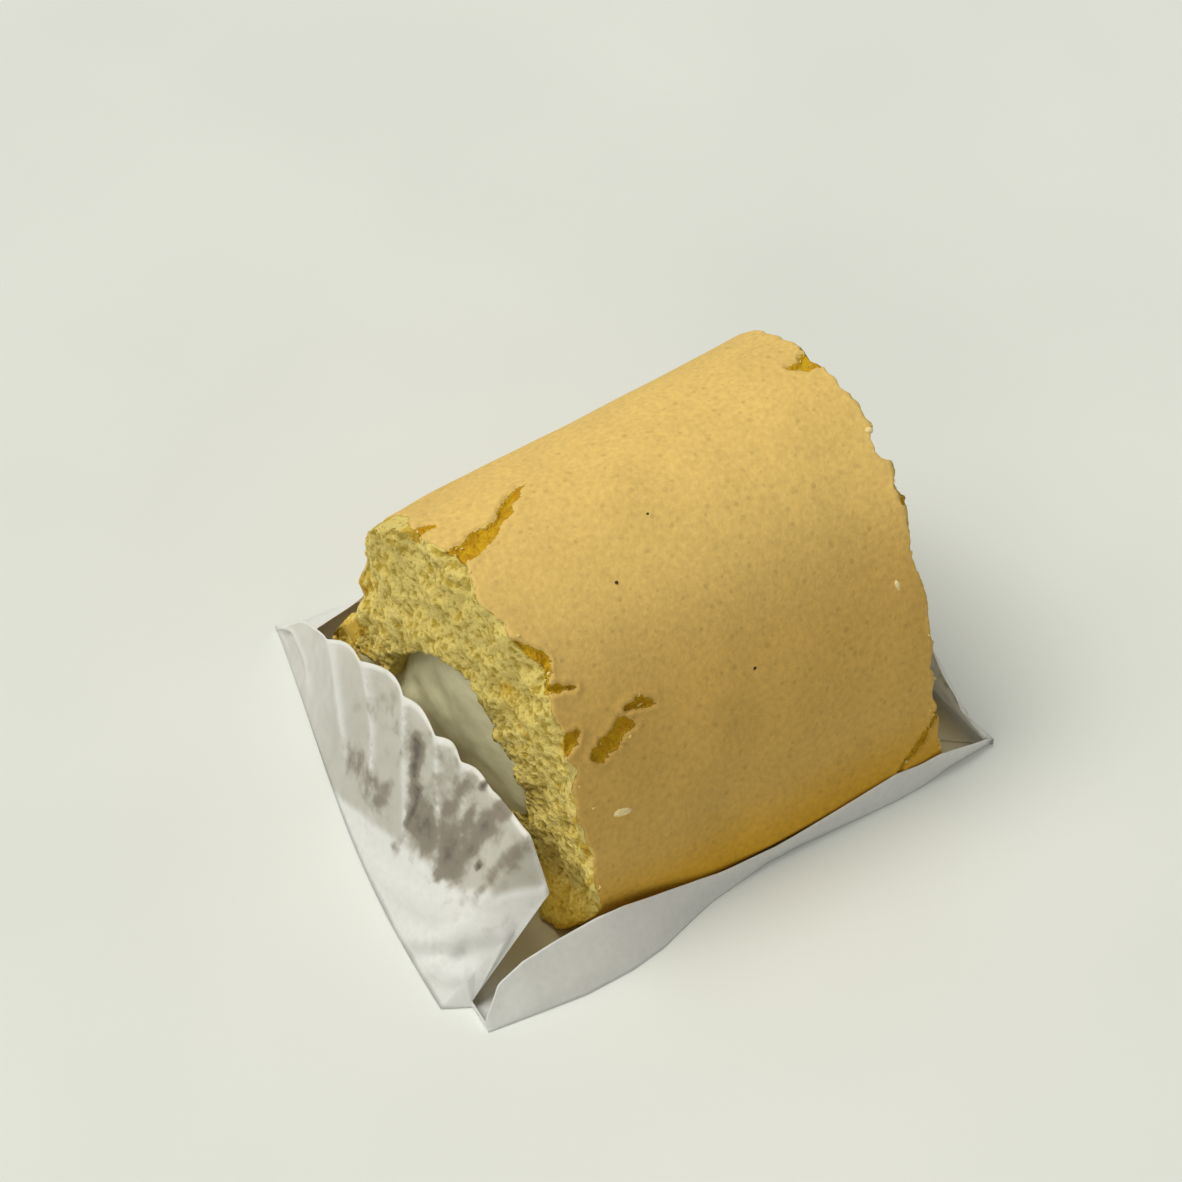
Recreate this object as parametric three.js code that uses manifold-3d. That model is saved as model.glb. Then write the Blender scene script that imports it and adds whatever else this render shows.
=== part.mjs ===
// One slice of a cream-filled swiss roll standing in its pleated paper case.
// Millimetres, +Z up. The roll's axis runs along Y: one cut end faces -Y, one long side faces +X.
import * as THREE from 'three';
import { mergeVertices } from 'three/addons/utils/BufferGeometryUtils.js';
import Module from 'manifold-3d';

// The slice
const HALF_WIDTH = 34.5;      // widest half of the roll, low on its sides
const HEIGHT = 53;            // crest above the roll's flat underside
const FRONT_Y = -33.8;        // front cut, on the axis
const BACK_Y = 32;            // back cut, on the axis
const FRONT_SKEW = 0.11;      // how far each cut turns off square, mm per mm across
const BACK_SKEW = -0.03;
const FRONT_RISE = 0.985;     // height at each end against HEIGHT
const BACK_RISE = 1.045;
const LEFT_SPREAD = 0.14;     // how much wider the left half is at the back
const CUT_RELIEF = 1.1;       // depth of the torn crumb on a cut end
const CUT_CRUMB = 4.1;        // size of its clods
const FINE_CRUMB = 0.6;       // weight of the clods half that size
const CUT_REACH = 1.6;        // how fast the relief fades inwards
const SKIN_RELIEF = 0.35;     // unevenness of the baked outside
const SKIN_WAVE = 8;
const TEAR_DEPTH = 1.3;       // how deep the skin's tears go
const CREAM_SWELL = 0.9;      // how far the cream's middle stands out of the cut
const CREAM_SET_BACK = 0.5;   // and how far its edge stays in
const CREAM_LIP_START = 0.08; // how far through the sheet's upper end the cream starts
const CREAM_END_CLOSE = 0.04; // how far round the sheet the cream's two sides stay apart at its right end

// The case
const PAPER = 0.4;            // sheet thickness as modelled
const GAP = 0.3;              // clearance between the paper and the roll
const CREAM_GAP = 0.5;        // and between the sponge and the cream
const FRONT_WALL = 24;        // height of each pleated end wall
const BACK_WALL = 18;
const FRONT_RIM_Y = -40;      // the end walls lean in to these lines
const BACK_RIM_Y = 36.4;
const PLEAT_DEPTH = 1.1;      // how far the folds between the lobes stand out at the rim
const PLEAT_UNEVEN = 0.35;    // how much that varies from lobe to lobe
const SCALLOP = 1.2;          // rise of the rim at each lobe
const NOTCH_SHARE = 0.3;      // share of a lobe's rise and depth that lies below the rim's own line
const RIM_UNEVEN = 0.16;      // unevenness of the rim against that rise
const PLEATS_FADE = [0.68, 0.88];   // shares of the front wall between which its pleats run out
const FRONT_BOW = 2.3;        // how far the front fold bows out
const FRONT_BOW_BIAS = 1.4;   // over 1, the bow is fullest towards the right
const RIGHT_RIM_X = 36;       // the side walls lean to these lines
const LEFT_RIM_X = -38;
const LEAN_HEIGHT = 5;        // height at which a side wall has its full lean

// Mesh density: steps round the roll, through the sheet and along the roll
const SHEET_STEPS = [62, 6, 20];
const CREAM_STEPS = [26, 5, 8];
const STEP_BUNCHING = 0.075;  // how much closer the lengthwise steps lie at the cuts
const RIGHT_STATIONS = 28;    // along each side wall of the case
const LEFT_STATIONS = 14;
const PLEAT_STATIONS = 6;     // to each lobe
const RIM_WAVE = 5;           // stations between high and low places of the rim

// Seeds of the fixed noise
const SEEDS = { frontCut: 3, backCut: 7, skin: 11, frontPleats: 21, backPleats: 23, tears: 31 };

// The sponge sheet from its upper end on the left, over the crest, under the base, to its turned-out
// lower end: each row is a point on the skin, then the point on the cream side beneath it
const SHEET = [
  [-25.0, 14.5, -15.5, 14.2], [-23.8, 24.5, -14.5, 18.6], [-22.4, 34.2, -11.5, 22.6],
  [-19.4, 43.4, -6.8, 26.2], [-9.0, 51.1, -1.8, 27.8], [4.0, 52.7, 3.8, 27.4],
  [17.5, 45.9, 9.0, 24.2], [27.0, 33.2, 13.6, 19.7], [32.6, 19.0, 16.6, 15.4],
  [34.5, 9.0, 16.2, 11.5], [31.5, 1.9, 12.6, 8.8], [24.0, 0.0, 6.0, 7.8],
  [8.0, 0.0, -2.0, 7.4], [-7.0, 0.0, -9.0, 7.2], [-19.0, 0.0, -15.4, 7.5],
  [-27.0, 0.3, -20.6, 9.0], [-31.6, 3.8, -24.8, 11.2], [-31.2, 12.8, -28.0, 14.6],
];
const CREAM_END = 8.6 / 17;   // where round the sheet the cream's right end lies
const LIP_SHARE = 9 / CREAM_STEPS[0];   // share of the cream's upper side under the sheet's upper end

// Tears in the skin: each runs from one point to another, given as the distance from the crest round
// the skin towards +X and the position along the roll, and is as wide as stated at its middle
const TEARS = [
  { from: [0.5, -37], to: [-5.2, -18.6], width: 4.2 },
  { from: [18.8, -36], to: [20.2, -28.4], width: 6.5 },
  { from: [24.0, -34], to: [25.7, -26.8], width: 1.4 },
  { from: [32.6, -20.4], to: [32.2, -16.0], width: 2.6 },
  { from: [36.4, -26.6], to: [33.6, -19.8], width: 3.4 },
  { from: [32.8, -35], to: [32.4, -28.0], width: 3.2 },
  { from: [-1.8, 36], to: [-2.6, 27.4], width: 3.4 },
];
const TEAR_POINTS = 5;        // points along each side of a tear
const TEAR_RAGGED = 0.3;      // how uneven its sides are, against its width
const TEAR_NARROWEST = 0.15;  // least half width, against its width

// The case's fold on the ground, and the height of each rim along its wall as [share of length, height]
const FOLD = {
  frontLeft: [-45.6, -39.6], frontRight: [32, -56.2], cornerRight: [39.2, -52.6],
  backRight: [35, 40.4], backLeft: [-38.6, 40.4],
};
const RIGHT_RIM = [[0, 1.4], [0.04, 5], [0.085, 7.2], [0.14, 8], [0.22, 8.6], [0.27, 8.1], [0.33, 6.7],
  [0.4, 5.2], [0.45, 4.3], [0.5, 3.7], [0.56, 3.2], [0.63, 3.8], [0.7, 4.5], [0.8, 5.5], [0.85, 4.8],
  [0.89, 5], [0.93, 4], [1, 1.6]];
const LEFT_RIM = [[0, 1.6], [0.08, 6.4], [0.25, 7.6], [0.45, 5.8], [0.65, 6.8], [0.85, 7.8], [0.96, 6.0],
  [1, 1.8]];
const FRONT_RIM = [[0, 0.08], [0.08, 0.34], [0.225, 0.64], [0.373, 0.87], [0.532, 1.02], [0.8, 1],
  [0.94, 0.96], [1, 0.6]];
const BACK_RIM = [[0, 0.45], [0.1, 0.86], [0.3, 1], [0.75, 0.94], [0.92, 0.8], [1, 0.4]];
const FRONT_NOTCHES = [0, 0.225, 0.373, 0.532, 0.651, 0.731, 0.82, 0.91, 1];   // shares where lobes meet
const BACK_NOTCHES = [0, 0.15, 0.28, 0.42, 0.57, 0.7, 0.84, 1];
const FRONT_RIM_X = [-44.4, 32.4];   // where the front and back rims start and end
const BACK_RIM_X = [32.6, -36.6];
const CORNER_STEP = 0.9;      // how far each cut corner stands out past the folds
const CORNER_LIP = 1.3;       // height of the paper left at a cut corner
const CASE_CENTRE = [-3, -6];
// How far the side folds stand out from straight lines between their corners
const RIGHT_BOW = [[0, 0], [0.08, 1.4], [0.165, 2.8], [0.25, 3.1], [0.315, 2.5], [0.38, 0.9], [0.43, -0.2],
  [0.55, -1.3], [0.62, -1], [0.73, 0], [0.8, 0.6], [0.86, 0.7], [0.92, 0.1], [1, 0]];
const LEFT_BOW = [[0, 0], [1, 0]];
const CASE_RINGS = [0, 0.5, 1, 1.34, 1.67, 2];   // centre 0, fold 1, rim 2

const MATERIALS = {
  sponge_roll: new THREE.MeshStandardMaterial({ color: 0xd2a962, roughness: 0.85, metalness: 0 }),
  cream_filling: new THREE.MeshStandardMaterial({ color: 0xd9d8c8, roughness: 0.4, metalness: 0 }),
  paper_case: new THREE.MeshStandardMaterial({ color: 0xe9e8e4, roughness: 0.6, metalness: 0 }),
};

const { lerp, smoothstep } = THREE.MathUtils;

// Straight-line lookup in a table of [position, value]
function along(table, t) {
  const i = Math.max(1, table.findIndex(([position]) => t <= position));
  const [a, low] = table[i - 1];
  const [b, high] = table[i];
  return lerp(low, high, (t - a) / (b - a));
}

// Fixed pseudo-random lattice, and smooth noise over it, both in -1..1
function lattice(i, j, seed) {
  let n = Math.imul(i, 374761393) + Math.imul(j, 668265263) + Math.imul(seed, 1274126177);
  n = Math.imul(n ^ (n >>> 13), 1103515245);
  return ((n ^ (n >>> 16)) >>> 0) / 2147483648 - 1;
}
function noise(x, y, seed) {
  const i = Math.floor(x);
  const j = Math.floor(y);
  const a = smoothstep(x - i, 0, 1);
  const b = smoothstep(y - j, 0, 1);
  return lerp(lerp(lattice(i, j, seed), lattice(i + 1, j, seed), a),
    lerp(lattice(i, j + 1, seed), lattice(i + 1, j + 1, seed), a), b);
}
function clods(x, z, seed) {
  const coarse = noise(x / CUT_CRUMB, z / CUT_CRUMB, seed);
  return coarse + FINE_CRUMB * noise(2 * x / CUT_CRUMB, 2 * z / CUT_CRUMB, seed + 1);
}

// Only positions, with shared corners merged
function bare(geometry) {
  geometry.deleteAttribute('normal');
  geometry.deleteAttribute('uv');
  return mergeVertices(geometry, 1e-4);
}

// Reshape every vertex of a unit block, given as fractions along its three sides
function reshape(steps, place) {
  const block = new THREE.BoxGeometry(1, 1, 1, ...steps);
  const p = block.attributes.position;
  for (let i = 0; i < p.count; i += 1) {
    const q = place(p.getX(i) + 0.5, p.getY(i) + 0.5, p.getZ(i) + 0.5);
    p.setXYZ(i, q.x, q.y, q.z);
  }
  return bare(block);
}

// Position along the roll at share t of its length: the cuts are a little askew, and their crumb is torn
const LENGTH = BACK_Y - FRONT_Y;
function lengthwise(x, z, t, relief) {
  const front = Math.exp(-t * LENGTH / CUT_REACH) * clods(x, z, SEEDS.frontCut);
  const back = Math.exp((t - 1) * LENGTH / CUT_REACH) * clods(x, z, SEEDS.backCut);
  return lerp(FRONT_Y + FRONT_SKEW * x, BACK_Y + BACK_SKEW * x, t) + relief * (front - back);
}
const rise = (t) => lerp(FRONT_RISE, BACK_RISE, t);
const spread = (x, t) => Math.max(x, 0) + Math.min(x, 0) * (1 + LEFT_SPREAD * t);

// Sponge: a flat sheet rolled round the cream, with its steps closer together at the cuts
const ROLL_BOTTOM = PAPER + GAP;
const line = (i) => new THREE.SplineCurve(SHEET.map((row) => new THREE.Vector2(row[i], row[i + 1])));
const skinLine = line(0);
const creamLine = line(2);
function rolledSheet(u, v, w) {
  const t = w - STEP_BUNCHING * Math.sin(2 * Math.PI * w);
  const p = skinLine.getPoint(u).lerp(creamLine.getPoint(u), v);
  const x = spread(p.x, t);
  const z = p.y * rise(t);
  const y = lengthwise(x, z, t, CUT_RELIEF);
  const out = new THREE.Vector2(p.x / HALF_WIDTH ** 2, z / HEIGHT ** 2).normalize();
  out.multiplyScalar(SKIN_RELIEF * (1 - v) * noise(y / SKIN_WAVE, (p.x + z) / SKIN_WAVE, SEEDS.skin));
  out.multiplyScalar(smoothstep(z, 0, SKIN_WAVE));
  return new THREE.Vector3(x + out.x, y, ROLL_BOTTOM + Math.max(0, z + out.y));
}

// Tear: a ragged plug set square to the skin, to be cut away
function skinFrame(s, y) {
  const steps = 400;
  const crest = Math.PI / 2 / steps;
  let angle = 0;
  for (let run = 0; run < Math.abs(s); angle += crest) {
    run += crest * Math.hypot(HALF_WIDTH * Math.cos(angle), HEIGHT * Math.sin(angle));
  }
  angle *= Math.sign(s);
  const out = new THREE.Vector3(Math.sin(angle) / HALF_WIDTH, 0, Math.cos(angle) / HEIGHT).normalize();
  const height = HEIGHT * rise((y - FRONT_Y) / LENGTH);
  const at = new THREE.Vector3(HALF_WIDTH * Math.sin(angle), y, ROLL_BOTTOM + height * Math.cos(angle));
  return { out, at };
}
function tearPlug({ from, to, width }, seed) {
  const [a, b] = [new THREE.Vector2(...from), new THREE.Vector2(...to)];
  const middle = a.clone().lerp(b, 0.5);
  const across = b.clone().sub(a).normalize();
  across.set(-across.y, across.x);
  const side = (sign) => Array.from({ length: TEAR_POINTS }, (_, k) => {
    const t = (k + 0.5) / TEAR_POINTS;
    const half = width * (0.5 * Math.sqrt(Math.sin(Math.PI * t)) + TEAR_RAGGED * lattice(k, sign, seed));
    const reach = sign * Math.max(TEAR_NARROWEST * width, half);
    return a.clone().lerp(b, t).addScaledVector(across, reach).sub(middle);
  });
  const outline = [a.clone().sub(middle), ...side(-1), b.clone().sub(middle), ...side(1).reverse()];
  const shape = new THREE.Shape(outline);
  const plug = new THREE.ExtrudeGeometry(shape, { depth: 3 * TEAR_DEPTH, bevelEnabled: false });
  const { out, at } = skinFrame(middle.x, middle.y);
  const round = new THREE.Vector3(out.z, 0, -out.x);
  const turn = new THREE.Matrix4().makeBasis(round, new THREE.Vector3(0, 1, 0), out);
  turn.setPosition(at.addScaledVector(out, -TEAR_DEPTH));
  return bare(plug.applyMatrix4(turn));
}

// Cream: a leaf between the sheet's inner sides, with a tail in the seam, a little proud at each cut
function inset(u) {
  const tangent = creamLine.getTangent(u);
  return creamLine.getPoint(u).add(new THREE.Vector2(tangent.y, -tangent.x).multiplyScalar(CREAM_GAP));
}
function creamOver(t) {
  if (t > LIP_SHARE) return inset(CREAM_END * (t - LIP_SHARE) / (1 - LIP_SHARE));
  const lip = skinLine.getPoint(0).lerp(creamLine.getPoint(0), lerp(CREAM_LIP_START, 1, t / LIP_SHARE));
  return lip.add(new THREE.Vector2(CREAM_GAP * t / LIP_SHARE, -CREAM_GAP));
}
function creamLeaf(u, v, w) {
  const p = creamOver(u).lerp(inset(lerp(1, CREAM_END + CREAM_END_CLOSE, u)), v);
  const x = spread(p.x, w);
  const z = p.y * rise(w);
  const swell = CREAM_SWELL * Math.sin(Math.PI * u) * Math.sin(Math.PI * v) - CREAM_SET_BACK;
  return new THREE.Vector3(x, lengthwise(x, z, w, 0) - swell * (1 - 2 * w), ROLL_BOTTOM + z);
}

// Paper case: stations round the fold, each with its foot on the ground and its lip on the rim
function pleatedWall(from, to, bow, rimX, rimY, height, rim, notches, seed) {
  const count = PLEAT_STATIONS * (notches.length - 1);
  return Array.from({ length: count + 1 }, (_, k) => {
    const pleat = Math.min(Math.floor(k / PLEAT_STATIONS), notches.length - 2);
    const share = k / PLEAT_STATIONS - pleat;
    const t = lerp(notches[pleat], notches[pleat + 1], share);
    const flute = rimY > 0 ? 1 : 1 - smoothstep(t, ...PLEATS_FADE);
    const bulge = (Math.sin(Math.PI * share) - NOTCH_SHARE) * flute;
    const ridge = bulge * PLEAT_DEPTH * (1 + PLEAT_UNEVEN * noise(pleat, 0.5, seed));
    const out = bow * Math.sin(Math.PI * t ** FRONT_BOW_BIAS);
    const scallop = SCALLOP * (bulge + RIM_UNEVEN * noise(k / RIM_WAVE, 2.5, seed));
    return {
      foot: [lerp(from[0], to[0], t), lerp(from[1], to[1], t) - out],
      lip: [lerp(rimX[0], rimX[1], t), rimY - Math.sign(rimY) * ridge, height * along(rim, t) + scallop],
    };
  });
}
function plainWall(from, to, rimX, bow, rim, steps) {
  return Array.from({ length: steps + 1 }, (_, k) => {
    const t = k / steps;
    const x = lerp(from[0], to[0], t) + along(bow, t);
    const y = lerp(from[1], to[1], t);
    const z = along(rim, t);
    return { foot: [x, y], lip: [lerp(x, rimX, Math.min(1, z / LEAN_HEIGHT)), y, z] };
  });
}
function cutCorner(a, b) {
  const out = new THREE.Vector2((a[0] + b[0]) / 2, (a[1] + b[1]) / 2);
  out.addScaledVector(out.clone().normalize(), CORNER_STEP);
  return { foot: [out.x, out.y], lip: [out.x, out.y, CORNER_LIP] };
}
function caseStations() {
  const { frontLeft, frontRight, cornerRight, backRight, backLeft } = FOLD;
  return [
    cutCorner(frontRight, cornerRight),
    ...plainWall(cornerRight, backRight, RIGHT_RIM_X, RIGHT_BOW, RIGHT_RIM, RIGHT_STATIONS),
    cutCorner(backRight, backRight),
    ...pleatedWall(backRight, backLeft, 0, BACK_RIM_X, BACK_RIM_Y, BACK_WALL, BACK_RIM,
      BACK_NOTCHES, SEEDS.backPleats),
    cutCorner(backLeft, backLeft),
    ...plainWall(backLeft, frontLeft, LEFT_RIM_X, LEFT_BOW, LEFT_RIM, LEFT_STATIONS),
    cutCorner(frontLeft, frontLeft),
    ...pleatedWall(frontLeft, frontRight, FRONT_BOW, FRONT_RIM_X, FRONT_RIM_Y, FRONT_WALL, FRONT_RIM,
      FRONT_NOTCHES, SEEDS.frontPleats),
  ];
}
function foldedCase() {
  const centre = new THREE.Vector3(...CASE_CENTRE, PAPER / 2);
  const sheet = caseStations().map(({ foot, lip }) => CASE_RINGS.map((q) => {
    const fold = new THREE.Vector3(...foot, PAPER / 2);
    if (q <= 1) return centre.clone().lerp(fold, q);
    return fold.lerp(new THREE.Vector3(lip[0], lip[1], PAPER / 2 + lip[2]), q - 1);
  }));
  const count = sheet.length;
  const last = CASE_RINGS.length - 1;
  const inward = (i, j) => {
    if (CASE_RINGS[j] < 1) return new THREE.Vector3(0, 0, 1);
    const round = sheet[(i + 1) % count][j].clone().sub(sheet[(i + count - 1) % count][j]);
    return sheet[i][Math.min(j + 1, last)].clone().sub(sheet[i][j - 1]).cross(round).normalize();
  };
  const under = CASE_RINGS.map((q) => new THREE.Vector2(q, 0));
  const profile = [...under, ...CASE_RINGS.map((q) => new THREE.Vector2(q, 1)).reverse()];
  const dish = new THREE.LatheGeometry(profile, count);
  const p = dish.attributes.position;
  for (let i = 0; i <= count; i += 1) {
    for (let k = 0; k < profile.length; k += 1) {
      const j = Math.min(k, profile.length - 1 - k);
      const half = k > last ? PAPER / 2 : -PAPER / 2;
      const q = sheet[i % count][j].clone().addScaledVector(inward(i % count, j), half);
      p.setXYZ(i * profile.length + k, q.x, q.y, Math.max(0, q.z));
    }
  }
  return bare(dish);
}

// Cutting of closed solids
const wasm = await Module();
wasm.setup();
function solid(geometry) {
  const vertProperties = new Float32Array(geometry.attributes.position.array);
  const triVerts = new Uint32Array(geometry.index.array);
  return new wasm.Manifold(new wasm.Mesh({ numProp: 3, vertProperties, triVerts }));
}
function tornSheet() {
  let body = solid(reshape(SHEET_STEPS, rolledSheet));
  TEARS.forEach((tear, i) => {
    body = body.subtract(solid(tearPlug(tear, SEEDS.tears + i)));
  });
  const { vertProperties, triVerts } = body.getMesh();
  const geometry = new THREE.BufferGeometry();
  geometry.setAttribute('position', new THREE.BufferAttribute(vertProperties, 3));
  return geometry.setIndex(new THREE.BufferAttribute(triVerts, 1));
}

const slice = new THREE.Group();
function add(name, geometry) {
  const mesh = new THREE.Mesh(geometry, MATERIALS[name]);
  mesh.name = name;
  slice.add(mesh);
}
add('sponge_roll', tornSheet());
add('cream_filling', reshape(CREAM_STEPS, creamLeaf));
add('paper_case', foldedCase());

// The origin is the middle of the underside
const box = new THREE.Box3().setFromObject(slice);
slice.position.set(-(box.min.x + box.max.x) / 2, -(box.min.y + box.max.y) / 2, -box.min.z);

const part = new THREE.Group();
part.name = 'swiss_roll_slice';
part.add(slice);

export default part;
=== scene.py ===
"""A slice of cream-filled swiss roll in its pleated paper case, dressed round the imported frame."""

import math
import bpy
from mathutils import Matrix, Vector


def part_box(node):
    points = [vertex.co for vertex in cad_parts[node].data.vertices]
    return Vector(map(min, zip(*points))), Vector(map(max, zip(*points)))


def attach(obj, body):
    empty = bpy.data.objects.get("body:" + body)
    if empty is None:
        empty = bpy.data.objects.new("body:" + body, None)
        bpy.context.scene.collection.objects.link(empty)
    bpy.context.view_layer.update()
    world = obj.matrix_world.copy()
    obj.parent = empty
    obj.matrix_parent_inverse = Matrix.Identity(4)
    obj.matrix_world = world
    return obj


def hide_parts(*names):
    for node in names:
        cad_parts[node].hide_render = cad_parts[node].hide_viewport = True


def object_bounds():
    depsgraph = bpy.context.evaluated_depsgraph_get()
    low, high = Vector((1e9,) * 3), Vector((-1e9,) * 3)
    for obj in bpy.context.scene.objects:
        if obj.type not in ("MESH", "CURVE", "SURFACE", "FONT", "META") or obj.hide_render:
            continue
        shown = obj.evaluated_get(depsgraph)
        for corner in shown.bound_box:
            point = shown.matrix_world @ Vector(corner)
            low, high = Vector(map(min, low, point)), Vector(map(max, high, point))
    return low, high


bl_info = {
    "name": "Swiss Roll Slice",
    "version": (1, 0, 0),
    "blender": (4, 5, 0),
    "location": "3D View > Sidebar > Swiss Roll",
    "description": "Rolls the sponge, fills it with cream, folds its paper case and scatters crumbs",
    "category": "Object",
}

import bmesh
import bpy
import numpy as np
from mathutils import Vector

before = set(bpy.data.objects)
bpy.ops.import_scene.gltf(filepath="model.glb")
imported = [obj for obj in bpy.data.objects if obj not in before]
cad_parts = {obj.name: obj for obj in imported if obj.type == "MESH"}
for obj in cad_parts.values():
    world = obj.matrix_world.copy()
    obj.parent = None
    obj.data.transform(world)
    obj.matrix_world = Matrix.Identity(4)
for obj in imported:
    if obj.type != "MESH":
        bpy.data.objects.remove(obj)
CAD_BOX = [list(corner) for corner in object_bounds()]

# Shapes are worked out in millimetres from the foot of the roll's axis, and Blender's metres come last
MM = 0.001
ROLL_AT = np.array([2.516, 7.522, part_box("sponge_roll")[0].z / MM])
CASE_AT = np.array([ROLL_AT[0], ROLL_AT[1], 0.0])
# The point on the ground under what the camera looks at, from the foot of the roll's axis
AIM = (-3.25, -7.53)

# The roll: its half width and height, the two cuts and how far askew they are, how much lower or higher the
# section is at each, and how much wider its left half gets towards the back
HALF_WIDTH, HEIGHT = 34.5, 53.0
FRONT_Y, BACK_Y = -33.8, 32.0
LENGTH = BACK_Y - FRONT_Y
FRONT_SKEW, BACK_SKEW = 0.11, -0.03
FRONT_RISE, BACK_RISE = 0.985, 1.045
LEFT_SPREAD = 0.14
# Torn clods on a cut: their size, the share of finer ones, and how far in clods and pores reach
CLOD, FINE_CLOD = 4.1, 0.6
CLOD_REACH, PORE_REACH = 1.6, 0.45
# Waves of the skin: their height and length, and how far under it the sponge moves with it
SKIN_RELIEF, SKIN_WAVE, SKIN_REACH = 0.35, 8.0, 4.0
# Mesh steps along the skin, along the rest and through the sheet, and how they crowd to cuts and skin
SKIN_STEPS, INNER_STEPS, DEPTH_STEPS = 141, 25, 45
CUT_CROWDING, SKIN_CROWDING = 0.045, 1.1

# The sheet from its upper end on the left, over the crest and under the base to its turned-up lower end:
# a point on the skin, then the point on the cream side beneath it
SHEET = np.array([
    [-25.0, 14.5, -15.5, 14.2], [-23.8, 24.5, -14.5, 18.6], [-22.4, 34.2, -11.5, 22.6],
    [-19.4, 43.4, -7.0, 26.6], [-9.0, 51.1, -2.4, 29.8], [4.0, 52.7, 2.8, 29.8],
    [17.5, 45.9, 8.2, 24.4], [27.0, 33.2, 13.2, 19.9], [32.6, 19.0, 16.6, 15.4],
    [34.5, 9.0, 16.2, 11.5], [31.5, 1.9, 12.6, 8.8], [24.0, 0.0, 6.0, 7.8],
    [8.0, 0.0, -2.0, 7.4], [-7.0, 0.0, -9.0, 7.2], [-19.0, 0.0, -15.4, 7.5],
    [-27.0, 0.3, -20.6, 9.0], [-31.6, 3.8, -24.8, 11.2], [-31.2, 12.8, -28.0, 14.6],
])
SKIN_LINE, CREAM_LINE = SHEET[:, :2], SHEET[:, 2:]
# Behind the front cut the right side sinks to a squarer foot, between two shares of the roll's length
SUNK_LINE = SKIN_LINE.copy()
SUNK_LINE[9:12] = [(34.9, 8.0), (34.6, 1.6), (26.0, 0.0)]
SUNK_FROM, SUNK_BY = 0.02, 0.3
# Shares of the sheet at which its underside and its turned-up end begin
UNDERSIDE, TAIL = 10.5 / 17, 14.5 / 17
# The turned-up end: millimetres to a unit of share, how ragged its edge is and how far down that goes
TAIL_RUN, TAIL_RAGGED, TAIL_REACH = 153.0, 1.4, 2.5
# The cream: the share of the sheet at its far end and the gap there, the share of its outline that lies
# under the sheet's upper end and how far through that end it starts, and its mesh steps
CREAM_END, CREAM_END_CLOSE = 8.6 / 17, 0.04
LIP_SHARE, LIP_START = 9 / 26, 0.08
CREAM_STEPS, CREAM_DEPTH_STEPS, CREAM_LONG_STEPS = 133, 31, 61

# Tears in the skin, each a line of points: distance from the crest round towards +X, place along the roll,
# half width
TEARS = [
    [(0.4, -36.0, 1.7), (0.6, -31.5, 1.9), (-0.3, -27.5, 1.6), (-1.7, -24.2, 0.8), (-3.8, -21.2, 1.1),
     (-5.4, -18.6, 0.7), (-6.4, -16.2, 0.3)],
    [(-8.6, -36.0, 0.7), (-8.2, -33.4, 0.8), (-7.4, -31.6, 0.4)],
    [(15.4, -33.6, 0.9), (17.6, -31.8, 1.1), (20.2, -30.6, 1.4), (22.0, -31.2, 0.9)],
    [(16.5, -35.0, 1.6), (22.0, -34.4, 2.0)],
    [(23.8, -31.9, 0.8), (24.8, -29.4, 0.6), (25.7, -27.0, 0.3)],
    [(32.0, -20.0, 0.6), (32.3, -17.9, 0.95), (33.1, -16.3, 0.4)],
    [(36.5, -26.0, 1.1), (35.4, -23.6, 1.6), (34.0, -21.4, 1.2), (35.0, -19.6, 0.5)],
    [(32.9, -32.0, 1.6), (32.4, -30.0, 1.3), (31.6, -28.5, 0.4)],
    [(-2.0, 34.0, 1.9), (-2.4, 30.2, 1.6), (-2.9, 27.6, 0.6)],
    [(56.6, 31.6, 0.6), (60.5, 27.9, 0.6), (65.2, 22.5, 0.5)],
    [(22.6, 33.0, 2.2)],
    [(41.0, 33.0, 2.0)],
    [(53.0, 32.6, 1.6)],
]
# How far the skin stands forward of the front cut, by distance round from the crest, and how far that goes
# under the skin and back from the cut
FRONT_EDGE = [(2, 0), (6, 1.0), (9, 2.0), (12.5, 1.3), (16, 0), (20, -1.4), (24, -1.2), (28, 0), (35, 0.6),
              (42, 1.9), (56, 1.9), (66, 0.8)]
EDGE_DEEP, EDGE_LONG = 3.0, 5.0
# How far the cut's foot has splayed forward at the right, where across the roll it begins and is full, up
# to which height and how far back
FOOT_SPLAY, SPLAY_ACROSS, SPLAY_HEIGHT, SPLAY_REACH = 4.5, (18.0, 30.0), 6.0, 6.0
# Amber hollows in the front cut: place across, height, radius, then their depth and how ragged they are
HOLLOWS = [(12.4, 33.4, 2.8), (14.2, 30.0, 2.8)]
HOLLOW_DEPTH, HOLLOW_RAGGED = 1.2, 1.5
# How deep the crumb has broken away under the skin's edge at a cut
EDGE_CRUMBLE = 0.7
# Farther than any tear or edge reaches
FAR = 99.0
# Where the skin has peeled off and left pale crumb, in the same way as the tears
PEELS = [
    [(-21.5, -35.6, 3.4), (-16.5, -35.4, 3.6), (-11.5, -36.0, 2.6), (-8.8, -37.0, 1.2)],
    [(2.5, -35.0, 1.1), (7.0, -34.4, 0.8)],
]

# The case's fold on the ground, corner by corner, and the middle of its base
FRONT_LEFT, FRONT_RIGHT, CORNER_RIGHT = (-45.6, -39.6), (32.0, -56.2), (39.2, -52.6)
BACK_RIGHT, BACK_LEFT = (35.0, 40.4), (-38.6, 40.4)
CASE_CENTRE = (-3.0, -6.0)
# Corners: how far the fold is rounded out or notched in, and the height of the rim
CORNER_STEP, NOTCHED_CORNER, FLAT_CORNER, CORNER_LIP = 0.9, -2.6, 0.2, 1.3
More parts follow.
